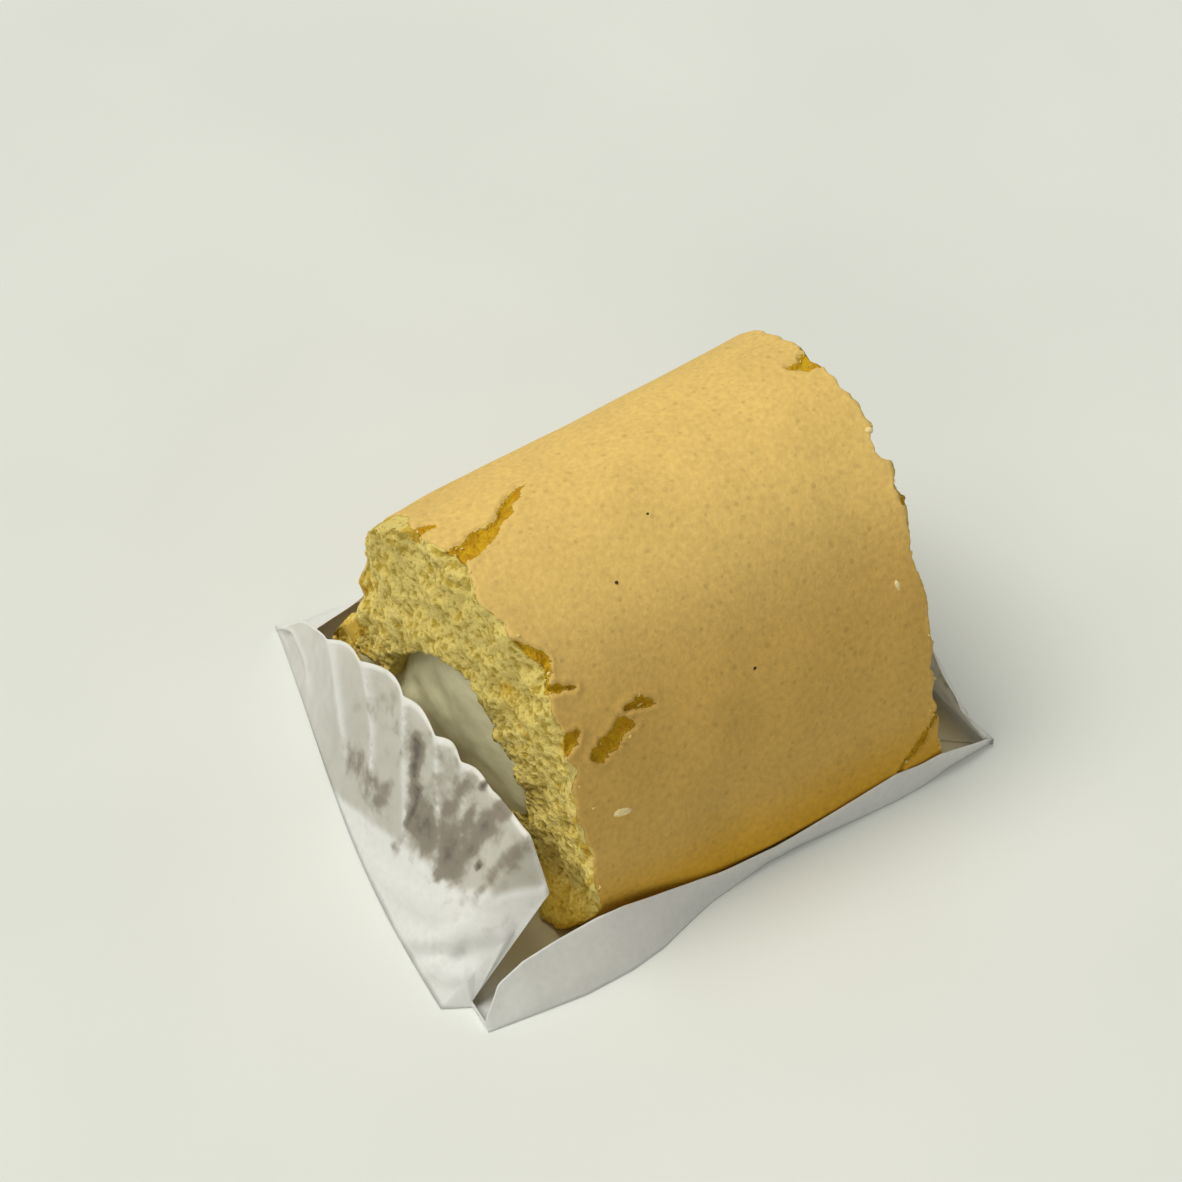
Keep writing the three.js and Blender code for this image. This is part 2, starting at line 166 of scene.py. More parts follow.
# The pleated walls: height, place of the rim along the roll and of its ends across it, how far the front
# fold bows out and to which side, and how far the right end of the front rim leans in
FRONT_WALL, BACK_WALL = 24.0, 18.0
FRONT_RIM_Y, BACK_RIM_Y = -40.0, 36.4
FRONT_RIM_X, BACK_RIM_X = (-44.4, 32.4), (32.6, -36.6)
FRONT_BOW, FRONT_BOW_BIAS, FRONT_LEAN = 2.3, 1.4, 2.2
# Their rims as (share of length, share of height), and the shares of length where two pleats meet
FRONT_RIM = [(0, 0.08), (0.08, 0.34), (0.225, 0.64), (0.373, 0.87), (0.532, 1.02), (0.8, 1), (0.94, 0.96),
             (1, 0.6)]
BACK_RIM = [(0, 0.45), (0.1, 0.86), (0.3, 1), (0.75, 0.94), (0.92, 0.8), (1, 0.4)]
FRONT_NOTCHES = [-0.3, -0.15, 0, 0.225, 0.373, 0.532, 0.651, 0.731, 0.82, 0.91, 1]
BACK_NOTCHES = [0, 0.15, 0.28, 0.42, 0.57, 0.7, 0.84, 1]
# The share of a pleat's depth by which its folds stand out, its slant, and where the front pleats fade away
NOTCH_SHARE, PLEAT_SLANT, PLEATS_FADE = 0.3, 0.28, (0.68, 0.88)
# The plain side walls: place of the rim across the roll, the height at which it gets there, and the rim as
# (share of length, height)
RIGHT_RIM_X, LEFT_RIM_X, LEAN_HEIGHT = 36.0, -38.0, 5.0
RIGHT_RIM = [(0, 1.4), (0.04, 5.0), (0.085, 7.2), (0.14, 8.0), (0.22, 8.6), (0.27, 8.1), (0.33, 6.7),
             (0.4, 5.2), (0.45, 4.3), (0.5, 3.7), (0.56, 3.2), (0.63, 3.8), (0.7, 4.5), (0.8, 5.5),
             (0.85, 4.8), (0.89, 5.0), (0.93, 4.0), (1, 1.6)]
LEFT_RIM = [(0, 1.6), (0.08, 6.4), (0.25, 7.6), (0.45, 5.8), (0.65, 6.8), (0.85, 7.8), (0.96, 6.0),
            (1, 1.8)]
# How far their folds stand out from straight lines between the corners
RIGHT_BOW = [(0, 0), (0.08, 1.4), (0.165, 2.8), (0.25, 3.1), (0.315, 2.5), (0.38, 0.9), (0.43, -0.2),
             (0.55, -1.3), (0.62, -1.0), (0.73, 0), (0.8, 0.6), (0.86, 0.7), (0.92, 0.1), (1, 0)]
LEFT_BOW = [(0, 0), (1, 0)]
# Mesh steps along each wall and up a wall, and the shares of the way out over the base
FRONT_STEPS, BACK_STEPS, RIGHT_STEPS, LEFT_STEPS, WALL_STEPS = 200, 150, 130, 120, 26
BASE_STEPS = np.array([0.4, 0.6, 0.7, 0.78, 0.86, 0.93, 1.0])
# Places of three walls in the list of walls and corners round the case
RIGHT, BACK, FRONT = 1, 3, 7
# The front wall laid flat, for distances on it
WALL_WIDE, WALL_HIGH = 78.0, 27.0
# The front wall by share along it and up it: the upper edge of its clean paper, then creases with their
# height, then stains with their half width and strength. The stains are greasy marks, darkened partly as
# painted shade seen through the soaked paper
CLEAN_EDGE = [(0.0, -0.3), (0.4, -0.05), (0.62, 0.24), (0.74, 0.37), (0.88, 0.47), (0.95, 0.64),
              (0.985, 0.92), (1.0, 1.2)]
CREASE_HALF_WIDTH = 2.0
CREASES = [((0.81, 0.0), (0.94, 0.27), 1.2), ((0.86, 0.0), (0.975, 0.33), -1.0),
           ((0.9, 0.0), (0.99, 0.24), 1.1), ((0.92, 0.28), (0.99, 0.62), 0.9),
           ((0.62, 0.02), (0.9, 0.36), 0.5), ((0.72, 0.0), (0.88, 0.2), -0.8)]
STAINS = [((0.615, 0.88), (0.65, 0.74), 1.1, 1.4), ((0.65, 0.74), (0.69, 0.5), 1.1, 1.3),
          ((0.72, 0.55), (0.82, 0.58), 3.6, 1.0), ((0.72, 0.46), (0.82, 0.46), 1.4, 0.8),
          ((0.86, 0.97), (0.835, 0.62), 1.8, 0.95), ((0.765, 0.92), (0.75, 0.68), 1.6, 0.75),
          ((0.8, 0.72), (0.82, 0.78), 1.6, 0.95), ((0.45, 0.34), (0.59, 0.4), 3.0, 0.6),
          ((0.69, 0.36), (0.685, 0.28), 1.3, 0.55), ((0.92, 0.62), (0.945, 0.97), 1.6, 0.6),
          ((0.555, 0.74), (0.605, 0.75), 0.7, 0.5), ((0.878, 0.64), (0.884, 0.65), 0.45, 2.0),
          ((0.8, 0.965), (0.806, 0.97), 0.5, 2.6), ((0.66, 0.86), (0.87, 0.74), 7.0, 0.36),
          ((0.44, 0.82), (0.62, 0.86), 4.5, 0.3)]
# Greasy tint on the base, partly painted shade and amber bounce light in the gaps beside the cake: how far
# it goes ahead of the front cut, left of the axis and short of the back cut, how fast it fades and the
# share of the way out where it stops
OIL_AND_LIGHT_FRONT, OIL_AND_LIGHT_LEFT, OIL_AND_LIGHT_BACK, OIL_AND_LIGHT_FADE, OIL_AND_LIGHT_EDGE = 1.5, 15, 4, 7, 0.95

# Crumbs: turn in radians, least and most size along each axis, and how their lumps are spaced and raised
CRUMB_TURN = (6.3, 6.3, 6.3)
CRUMB_LEAST, CRUMB_MOST = (0.35, 0.35, 0.3), (1.5, 1.2, 0.9)
LUMP_SCALE, LUMP_HEIGHT = 2600.0, 0.0006
# Flakes and specks lying on the skin: angle round from the crest, place along the roll, half length, half
# width, half height, turn from the roll's length, dark or not
FLAKES = [(65.0, -24.8, 1.7, 0.7, 0.55, 10.0, False), (50.2, 26.5, 0.9, 0.42, 0.35, 80.0, False),
          (19.6, 31.1, 0.6, 0.5, 0.4, 30.0, False), (35.0, 30.6, 0.5, 0.4, 0.35, 0.0, False),
          (24.2, -14.6, 0.32, 0.26, 0.1, 0.0, True), (61.4, -10.6, 0.4, 0.24, 0.1, 70.0, True),
          (51.8, 0.7, 0.32, 0.28, 0.1, 20.0, True), (13.7, -5.4, 0.24, 0.2, 0.08, 0.0, True)]

# The stage: half the floor's width, the sky, the camera's sensor, and lamps with the way to each, its width
# in degrees and its strength
FLOOR_HALF = 3000.0
SKY_COLOUR, SKY_STRENGTH = (1.0, 0.99, 0.90), 0.3
SENSOR_WIDTH = 36.0
LAMP_COLOUR = (1.0, 0.985, 0.9)
LAMPS = [("key", (-0.35, -0.3, 1.0), 40, 1.85), ("fill", (-0.25, -0.6, 0.75), 30, 0.5),
         ("side", (0.6, -0.7, 0.4), 40, 0.4)]


# Settings that a user would change

def length(name, text, millimetres):
    """A size in metres, given in millimetres."""
    return bpy.props.FloatProperty(name=name, description=text, default=millimetres * MM, min=0.0,
                                   precision=5, subtype="DISTANCE", unit="LENGTH")


def colour(name, text, value):
    """A linear colour."""
    return bpy.props.FloatVectorProperty(name=name, description=text, default=value, size=3, min=0.0,
                                         max=1.0, subtype="COLOR")


class SpongeSettings(bpy.types.PropertyGroup):
    """Sizes and colours of the rolled sponge."""
    cell: length("Cell", "Mesh cell on the skin", 0.45)
    cut_relief: length("Cut relief", "Depth of the torn clods on a cut end", 0.9)
    pore_depth: length("Pore depth", "Depth of the open pores in the crumb", 0.5)
    tear_depth: length("Tear depth", "How deep the tears in the skin go", 0.95)
    skin_thickness: length("Skin", "Thickness of the baked skin where its edge shows", 0.5)
    skin_top: colour("Skin", "Baked skin", (0.76, 0.52, 0.16))
    # The sides and the foot are darker partly for the skin's own tone and partly as painted shade
    skin_side_and_shade: colour("Sides", "Baked skin on the sides", (0.64, 0.40, 0.10))
    skin_low: colour("Foot", "Damp skin at the foot of the sides", (0.62, 0.335, 0.015))
    crumb: colour("Crumb", "Cut sponge", (0.91, 0.765, 0.265))
    # Painted shade inside the pores
    pore: colour("Pores", "Inside of the pores", (0.53, 0.37, 0.04))
    tear: colour("Tears", "Sponge laid bare in the tears", (0.61, 0.37, 0.008))


class CreamSettings(bpy.types.PropertyGroup):
    """Sizes and colours of the filling."""
    swell: length("Swell", "How far the middle stands out of the cut", 1.8)
    set_back: length("Set back", "How far the edge stays in", 0.5)
    hollow: length("Hollow", "How far the cream has shrunk in towards its open seam", 2.4)
    reach: length("Reach", "How far the cream sinks into the sponge", 0.25)
    sag: length("Sag", "How far the open seam has sunk", 0.8)
    body: colour("Cream", "Cream", (0.84, 0.80, 0.53))
    seam: colour("Seam", "Cream drawn into the sheet along its open seam", (0.66, 0.48, 0.08))
    shade: colour("Smears", "Thin streaks in the cream", (0.72, 0.68, 0.42))


class CaseSettings(bpy.types.PropertyGroup):
    """Sizes and colours of the paper case."""
    thickness: length("Paper", "Thickness of the paper", 0.14)
    pleat_depth: length("Pleat depth", "How far the folds stand out from the lobes at the rim", 1.1)
    scallop: length("Scallop", "Rise of the rim at each lobe", 1.2)
    crumple: length("Crumple", "Height of the creases", 0.5)
    paper: colour("Paper", "Clean paper", (0.80, 0.81, 0.79))
    # Painted shade: the dark interior seen through thin paper
    see_through_shade: colour("Veil", "Thin paper that lets the dark show through", (0.48, 0.47, 0.42))
    # Greasy stains, darkened partly as painted shade seen through the paper
    grease_and_shade: colour("Grease", "Paper soaked by the filling", (0.22, 0.195, 0.16))
    # Darkest streaks: greasy, partly painted shade seen through the paper
    soaked: colour("Soaked", "Darkest streaks", (0.10, 0.09, 0.08))
    # Beside the cake: partly greasy paper, partly painted shade and amber bounce light
    oil: colour("Oil", "Base of the case beside the cake", (0.60, 0.44, 0.10))
    # Away from the cake: brightened as painted light where the case's corner lies in shade
    tan: colour("Tan", "Base of the case away from the cake", (0.95, 0.82, 0.55))


class CrumbSettings(bpy.types.PropertyGroup):
    """Loose crumbs."""
    size: length("Crumb size", "Radius of a middling crumb", 0.32)
    density: bpy.props.FloatProperty(name="Density", default=90000.0, min=0.0,
                                     description="Crumbs to a square metre where they lie thickest")
    seed: bpy.props.IntProperty(name="Seed", description="Fixed seed of the scatter", default=5)
    pale: colour("Crumbs", "Crumbs off the cut", (0.80, 0.66, 0.26))
    flake: colour("Flakes", "Pale flakes on the skin", (0.90, 0.78, 0.45))
    speck: colour("Specks", "Burnt specks on the skin", (0.05, 0.03, 0.01))


class StageSettings(bpy.types.PropertyGroup):
    """Floor, light and camera."""
    floor: colour("Floor", "Plain pale floor", (0.74, 0.76, 0.74))
    azimuth: bpy.props.FloatProperty(name="Azimuth", description="Camera's turn from the front, towards +X",
                                     default=math.radians(56.92), subtype="ANGLE")
    elevation: bpy.props.FloatProperty(name="Elevation", description="Camera's height angle",
                                       default=math.radians(46.28), subtype="ANGLE")
    distance: length("Distance", "Camera's distance from the middle of the slice", 479.9)
    lens: bpy.props.FloatProperty(name="Focal length", description="Camera's focal length", default=98.0,
                                  unit="CAMERA")


# Rules for lines and noise

def spline(points, share):
    """A smooth curve through evenly counted points."""
    last = len(points) - 1
    place = np.clip(share, 0, 1) * last
    i = np.minimum(place.astype(int), last - 1)
    t = (place - i)[..., None]
    a, b = points[np.maximum(i - 1, 0)], points[i]
    c, d = points[i + 1], points[np.minimum(i + 2, last)]
    return b + 0.5 * t * (c - a + t * (2 * a - 5 * b + 4 * c - d + t * (3 * (b - c) + d - a)))


def normals(tangent):
    """Unit vectors to the left of a line."""
    normal = np.stack([-tangent[:, 1], tangent[:, 0]], -1)
    return normal / np.linalg.norm(normal, axis=1)[:, None]


def even_steps(points, first, last, step):
    """Shares of a curve that are a step apart along it."""
    fine = np.linspace(first, last, 4000)
    path = spline(points, fine)
    run = np.concatenate([[0], np.cumsum(np.hypot(*np.diff(path, axis=0).T))])
    count = max(2, round(run[-1] / step))
    return np.interp(np.linspace(0, run[-1], count + 1), run, fine)


def smooth(low, high, value):
    """Smooth step from 0 at low to 1 at high."""
    t = np.clip((value - low) / (high - low), 0, 1)
    return t * t * (3 - 2 * t)


def mix(a, b, share):
    return a + (b - a) * share


def along(table, t):
    """Straight-line lookup in a table of (place, value)."""
    places, values = np.array(table).T
    return np.interp(t, places, values)


def line_away(x, y, a, b):
    """Distance from the line between two points, and the share of the way along it."""
    dx, dy = b[0] - a[0], b[1] - a[1]
    t = np.clip(((x - a[0]) * dx + (y - a[1]) * dy) / max(dx * dx + dy * dy, 1e-6), 0, 1)
    return np.hypot(x - a[0] - t * dx, y - a[1] - t * dy), t


def lattice(i, j, seed):
    """Fixed pseudo-random value in -1..1 for each cell of a grid."""
    mask = 0xFFFFFFFF
    n = (i.astype(np.int64) * 374761393 + j.astype(np.int64) * 668265263 + seed * 1274126177) & mask
    n = ((n ^ (n >> 13)) * 1103515245) & mask
    return (n ^ (n >> 16)) / 2147483648.0 - 1.0


def noise(x, y, seed):
    """Smooth noise over the lattice, in -1..1."""
    i, j = np.floor(x), np.floor(y)
    a, b = smooth(0, 1, x - i), smooth(0, 1, y - j)
    low = mix(lattice(i, j, seed), lattice(i + 1, j, seed), a)
    high = mix(lattice(i, j + 1, seed), lattice(i + 1, j + 1, seed), a)
    return mix(low, high, b)


def clods(x, z, seed):
    """Relief of large and small clods."""
    return noise(x / CLOD, z / CLOD, seed) + FINE_CLOD * noise(2 * x / CLOD, 2 * z / CLOD, seed + 1)


def pores(x, y, pitch, seed):
    """Depth of the nearest pore in 0..1: one round pit of its own size in each cell of a shifted grid."""
    i, j = np.floor(x / pitch), np.floor(y / pitch)
    deepest = np.zeros(np.shape(x))
    for di in (-1, 0, 1):
        for dj in (-1, 0, 1):
            ci, cj = i + di, j + dj
            px = (ci + 0.5 + 0.45 * lattice(ci, cj, seed)) * pitch
            py = (cj + 0.5 + 0.45 * lattice(ci, cj, seed + 1)) * pitch
            radius = pitch * (0.34 + 0.26 * lattice(ci, cj, seed + 2))
            near = 1 - ((x - px) ** 2 + (y - py) ** 2) / radius ** 2
            deepest = np.maximum(deepest, near * smooth(0.05, 0.3, radius / pitch))
    return deepest


# Meshes

def closed_block(u, v, outer, inner):
    """Parameters and faces of a closed block: it has the outer steps lengthwise on its v = 0 side and the
    inner steps on the rest."""
    params = []

    def grid(*shares):
        start = sum(len(p) for p in params)
        mesh = np.stack(np.meshgrid(*shares, indexing="ij"), -1)
        params.append(mesh.reshape(-1, 3))
        return start + np.arange(mesh[..., 0].size).reshape([len(s) for s in shares if len(s) > 1])

    none, full = np.zeros(1), np.ones(1)
    skin = grid(u, none, outer)
    inside = grid(u, full, inner)
    cuts = []
    for t, column in ((none, 0), (full, -1)):
        middle = grid(u, v[1:-1], t)
        cuts.append(np.hstack([skin[:, [column]], middle, inside[:, [column]]]))
    quads = [squares(skin), squares(inside)[:, ::-1], squares(cuts[0])[:, ::-1], squares(cuts[1])]
    triangles = []
    for u_end, row in ((u[:1], 0), (u[-1:], -1)):
        middle = grid(u_end, v[1:-1], inner[1:-1])
        rows = np.hstack([cuts[0][row, 1:-1, None], middle, cuts[1][row, 1:-1, None]])
        rows = np.vstack([rows, inside[row]])
        order = -1 if row == 0 else 1
        quads.append(squares(rows)[:, ::order])
        triangles.append(stitch(skin[row], outer, rows[0], inner)[:, ::order])
    faces = np.vstack(quads).tolist() + np.vstack(triangles).tolist()
    return np.vstack(params).T, faces


def squares(index):
    """The faces of a grid of vertices."""
    corners = [index[:-1, :-1], index[1:, :-1], index[1:, 1:], index[:-1, 1:]]
    return np.stack(corners, -1).reshape(-1, 4)


def stitch(first, first_at, second, second_at):
    """Triangles between two rows whose steps differ."""
    faces = []
    i = j = 0
    while i < len(first) - 1 or j < len(second) - 1:
        step_second = i == len(first) - 1 or (j < len(second) - 1 and second_at[j + 1] <= first_at[i + 1])
        if step_second:
            faces.append((first[i], second[j], second[j + 1]))
            j += 1
        else:
            faces.append((first[i], second[j], first[i + 1]))
            i += 1
    return np.array(faces)


def make_mesh(name, points, faces, marks, material):
    """A smooth mesh from points in millimetres, with a number or a vector for each mark."""
    mesh = bpy.data.meshes.new(name)
    mesh.from_pydata((points * MM).tolist(), [], faces)
    mesh.shade_smooth()
    for mark, values in marks.items():
        kind, field = ("FLOAT", "value") if values.ndim == 1 else ("FLOAT_VECTOR", "vector")
        layer = mesh.attributes.new(mark, kind, "POINT")
        layer.data.foreach_set(field, np.ascontiguousarray(values, dtype=np.float32).ravel())
    mesh.materials.append(material)
    return mesh


def add_piece(name, mesh):
    piece = bpy.data.objects.new(name, mesh)
    bpy.context.scene.collection.objects.link(piece)
    return piece


def settle(piece):
    """Turns a piece and its modifiers into one plain mesh."""
    graph = bpy.context.evaluated_depsgraph_get()
    plain = bpy.data.meshes.new_from_object(piece.evaluated_get(graph))
    piece.modifiers.clear()
    piece.data = plain


# Node trees

def node(tree, kind, inputs=None, **settings):
    """A new node: an input given a socket is linked, and any other value is set."""
    made = tree.nodes.new(kind)
    for name, value in settings.items():
        setattr(made, name, value)
    for name, value in (inputs or {}).items():
        if isinstance(value, bpy.types.NodeSocket):
            tree.links.new(value, made.inputs[name])
        else:
            made.inputs[name].default_value = value
    return made


def calc(tree, operation, a, b=0.0):
    return node(tree, "ShaderNodeMath", {0: a, 1: b}, operation=operation).outputs[0]


def scaled(tree, vector, share):
    return node(tree, "ShaderNodeVectorMath", {0: vector, "Scale": share}, operation="SCALE").outputs[0]


def remap(tree, value, low, high, start=0.0, end=1.0, steps="SMOOTHSTEP"):
    made = node(tree, "ShaderNodeMapRange", {"Value": value, "From Min": low, "From Max": high,
                                             "To Min": start, "To Max": end}, interpolation_type=steps)
    return made.outputs["Result"]


def blend(tree, share, first, second, mode="MIX"):
    made = node(tree, "ShaderNodeMix", {0: share, 6: first, 7: second}, data_type="RGBA", blend_type=mode)
    return made.outputs[2]


def grain(tree, place, millimetres, detail=2.0):
    """Noise in 0..1 with features of that size."""
    made = node(tree, "ShaderNodeTexNoise", {"Vector": place, "Scale": 1 / (millimetres * MM),
                                             "Detail": detail})
    return made.outputs["Fac"]


def dots(tree, place, millimetres, share, channel):
    """Distance outside the nearest of many scattered dots, each with a size of its own up to that share."""
    made = node(tree, "ShaderNodeTexVoronoi", {"Vector": place, "Scale": 1 / (millimetres * MM)})
    size = node(tree, "ShaderNodeSeparateColor", {0: made.outputs["Color"]}).outputs[channel]
    return calc(tree, "SUBTRACT", made.outputs["Distance"], calc(tree, "MULTIPLY", size, share))


def height_of(tree, place):
    return node(tree, "ShaderNodeSeparateXYZ", {0: place}).outputs["Z"]


def mark_of(tree, name):
    return node(tree, "ShaderNodeAttribute", attribute_name=name).outputs["Fac"]


def rgba(value):
    return (*value, 1.0)


def darker(value, shares):
    """A colour with each channel cut to its own share."""
    return rgba(np.array(value) * shares)


def new_material(name, roughness):
    """A material with its tree, its shader and its place on the piece."""
    material = bpy.data.materials.new(name)
    material.use_nodes = True
    tree = material.node_tree
    shader = tree.nodes["Principled BSDF"]
    shader.inputs["Roughness"].default_value = roughness
    place = node(tree, "ShaderNodeTexCoord").outputs["Object"]
    return material, tree, shader, place


def paint(tree, shader, base, rough, millimetres, strength=1.0):
    """Gives a shader its colour and its fine relief."""
    tree.links.new(base, shader.inputs["Base Color"])
    made = node(tree, "ShaderNodeBump", {"Height": rough, "Distance": millimetres * MM,
                                         "Strength": strength})
    tree.links.new(made.outputs["Normal"], shader.inputs["Normal"])


def let_light_in(shader, weight, radius, scale):
    shader.inputs["Subsurface Weight"].default_value = weight
    shader.inputs["Subsurface Radius"].default_value = radius
    shader.inputs["Subsurface Scale"].default_value = scale


def new_tree(name, inputs):
    """A node group that takes a mesh and these inputs and gives a mesh, and the sockets it takes."""
    tree = bpy.data.node_groups.new(name, "GeometryNodeTree")
    tree.interface.new_socket("Geometry", in_out="OUTPUT", socket_type="NodeSocketGeometry")
    for socket, kind in {"Geometry": "Geometry", **inputs}.items():
        tree.interface.new_socket(socket, in_out="INPUT", socket_type="NodeSocket" + kind)
    return tree, tree.nodes.new("NodeGroupInput").outputs


def named_mark(tree, name, kind="FLOAT"):
    """A mark of the mesh that a node group works on."""
    made = node(tree, "GeometryNodeInputNamedAttribute", {"Name": name}, data_type=kind)
    return made.outputs["Attribute"]


def end_tree(tree, geometry, material):
    """Ends a node group with one real mesh in that material."""
    whole = node(tree, "GeometryNodeRealizeInstances", {0: geometry})
    finished = node(tree, "GeometryNodeSetMaterial", {"Geometry": whole.outputs[0], "Material": material})
    node(tree, "NodeGroupOutput", {"Geometry": finished.outputs[0]})


def run_tree(piece, tree, values):
    """Adds a node group to a piece with its inputs set."""
    modifier = piece.modifiers.new(tree.name, "NODES")
    modifier.node_group = tree
    for item in tree.interface.items_tree:
        if item.in_out == "INPUT" and item.name in values:
            modifier[item.identifier] = values[item.name]


# Sponge

def rise(t):
    """How tall the section stands at share t of the roll's length."""
    return mix(FRONT_RISE, BACK_RISE, t)


def spread(x, t):
    """Place across the roll, whose left half is wider at the back."""
    return np.maximum(x, 0) + np.minimum(x, 0) * (1 + LEFT_SPREAD * t)


def skin_line(u, t):
    """The skin's section at share t of the roll's length."""
    sunk = smooth(SUNK_FROM, SUNK_BY, t)[:, None]
    return mix(spline(SKIN_LINE, u), spline(SUNK_LINE, u), sunk)


def cut_plane(x, t):
    """Place along the roll at share t of its length, between two cuts that are a little askew."""
    return mix(FRONT_Y + FRONT_SKEW * x, BACK_Y + BACK_SKEW * x, t)


def round_from_crest(x, z):
    """Distance round the skin from the crest, positive towards +X."""
    turns = np.linspace(0, math.pi / 2, 2000)
    speed = np.hypot(HALF_WIDTH * np.cos(turns), HEIGHT * np.sin(turns))
    run = np.concatenate([[0], np.cumsum(speed[1:] * np.diff(turns))])
    angle = np.arctan2(x / HALF_WIDTH, z / HEIGHT)
    return np.sign(angle) * np.interp(np.abs(angle), turns, run)


def tear_gap(s, y, tears):
    """Distance to the nearest tear, negative inside it."""
    gap = np.full(s.shape, FAR)
    for tear in tears:
        for a, b in zip(tear, tear[1:] or tear):
            away, t = line_away(s, y, a, b)
            gap = np.minimum(gap, away - a[2] - t * (b[2] - a[2]))
    return gap + 0.4 * noise(s / 1.7, y / 1.7, 51) + 0.25 * noise(s / 0.7, y / 0.7, 52)


def edge_band(s, seed):
    """How far back from a cut the skin has come away."""
    broad, fine = noise(s / 3.1, 0.5 + 0 * s, seed), noise(s / 1.1, 1.5 + 0 * s, seed)
    return 0.3 + 0.9 * np.maximum(0, broad + 0.5 * fine)


def cut_crumb(x, z, s, under, seed):
    """How far into a pore each point of a cut lies, and the relief of the fine crumb there."""
    pit = np.maximum(0.9 * pores(s / 1.25, under, 1.7, seed), 0.8 * pores(x, z, 1.1, seed + 3))
    rough = 0.22 * noise(x / 1.3, z / 1.3, seed + 6) + 0.12 * noise(x / 0.7, z / 0.7, seed + 7)
    return pit, rough


def crumb_hollows(x, z):
    """Depth in 0..1 of the amber hollows, with broken outlines."""
    ragged_x = x + HOLLOW_RAGGED * noise(x / 2.2, z / 2.2, 97)
    ragged_z = z + HOLLOW_RAGGED * noise(x / 2.2, z / 2.2, 98)
    depth = np.zeros(len(x))
    for across, up, radius in HOLLOWS:
        away = np.hypot(ragged_x - across, ragged_z - up)
        depth = np.maximum(depth, np.exp(-(away / radius) ** 2))
    return depth * np.clip(0.9 + 0.6 * noise(x / 1.2, z / 1.2, 99), 0, 1)


def cut_ends(x, z, s, under, t, hollow, settings):
    """Places along the roll between the two torn cuts, how far into a pore each lies, and how far it is
    behind the edge where the skin has come away."""
    y = cut_plane(x, t)
    pit, edge = np.zeros(len(t)), np.full(len(t), FAR)
    for seed, inward, direction in ((3, t * LENGTH, 1), (7, (1 - t) * LENGTH, -1)):
        pore, rough = cut_crumb(x, z, s, under, seed + 60)
        near = np.exp(-inward / PORE_REACH)
        depth = settings.cut_relief / MM * clods(x, z, seed) * np.exp(-inward / CLOD_REACH)
        depth += near * (settings.pore_depth / MM * pore + rough)
        depth += EDGE_CRUMBLE * np.exp(-under) * near * (0.6 + noise(s / 2.3, 0.5 + 0 * s, seed + 66))
        if direction > 0:
            forward = along(FRONT_EDGE, s) * np.exp(-under / EDGE_DEEP) * np.exp(-inward / EDGE_LONG)
            splay = FOOT_SPLAY * smooth(*SPLAY_ACROSS, x) * smooth(SPLAY_HEIGHT, 0, z)
            depth += HOLLOW_DEPTH * hollow * near - forward - splay * np.exp(-inward / SPLAY_REACH)
        y += direction * depth
        pit = np.maximum(pit, pore * smooth(0.4, 0.9, near))
        edge = np.minimum(edge, inward - edge_band(s, seed + 70))
    return y, pit, edge


def tail_rise(u, v, y, under):
    """Rise of the turned-up end's edge, which is ragged along the roll and rounded off."""
    uneven = noise(y / 9, 2 * v, 95) + 0.5 * noise(y / 1.8, under / 1.8, 96)
    uneven = uneven - np.abs(2 * v - 1) ** 3
    return TAIL_RAGGED * uneven * np.exp((u - 1) * TAIL_RUN / TAIL_REACH)


def amber_share(x, height, s, under, t, hollow):
    """How amber the crumb is: at its foot and in the turned-up end, partly its own amber and partly painted
    shade, in patches by the skin and in hollows.
    """
    patch = noise(s / 4.5, under / 3.0, 83) + 0.6 * noise(s / 1.6, under / 1.3, 84)
    # Painted shade in part: amber at the foot and in the turned-up end
    return np.maximum.reduce([0.9 * smooth(9, 2, height),
                              0.7 * smooth(-15, -24, x) * smooth(24, 12, height),
                              smooth(0.1, 0.8, patch) * smooth(4.5, 1.0, under),
                              hollow * smooth(0.5, 0.1, t)])


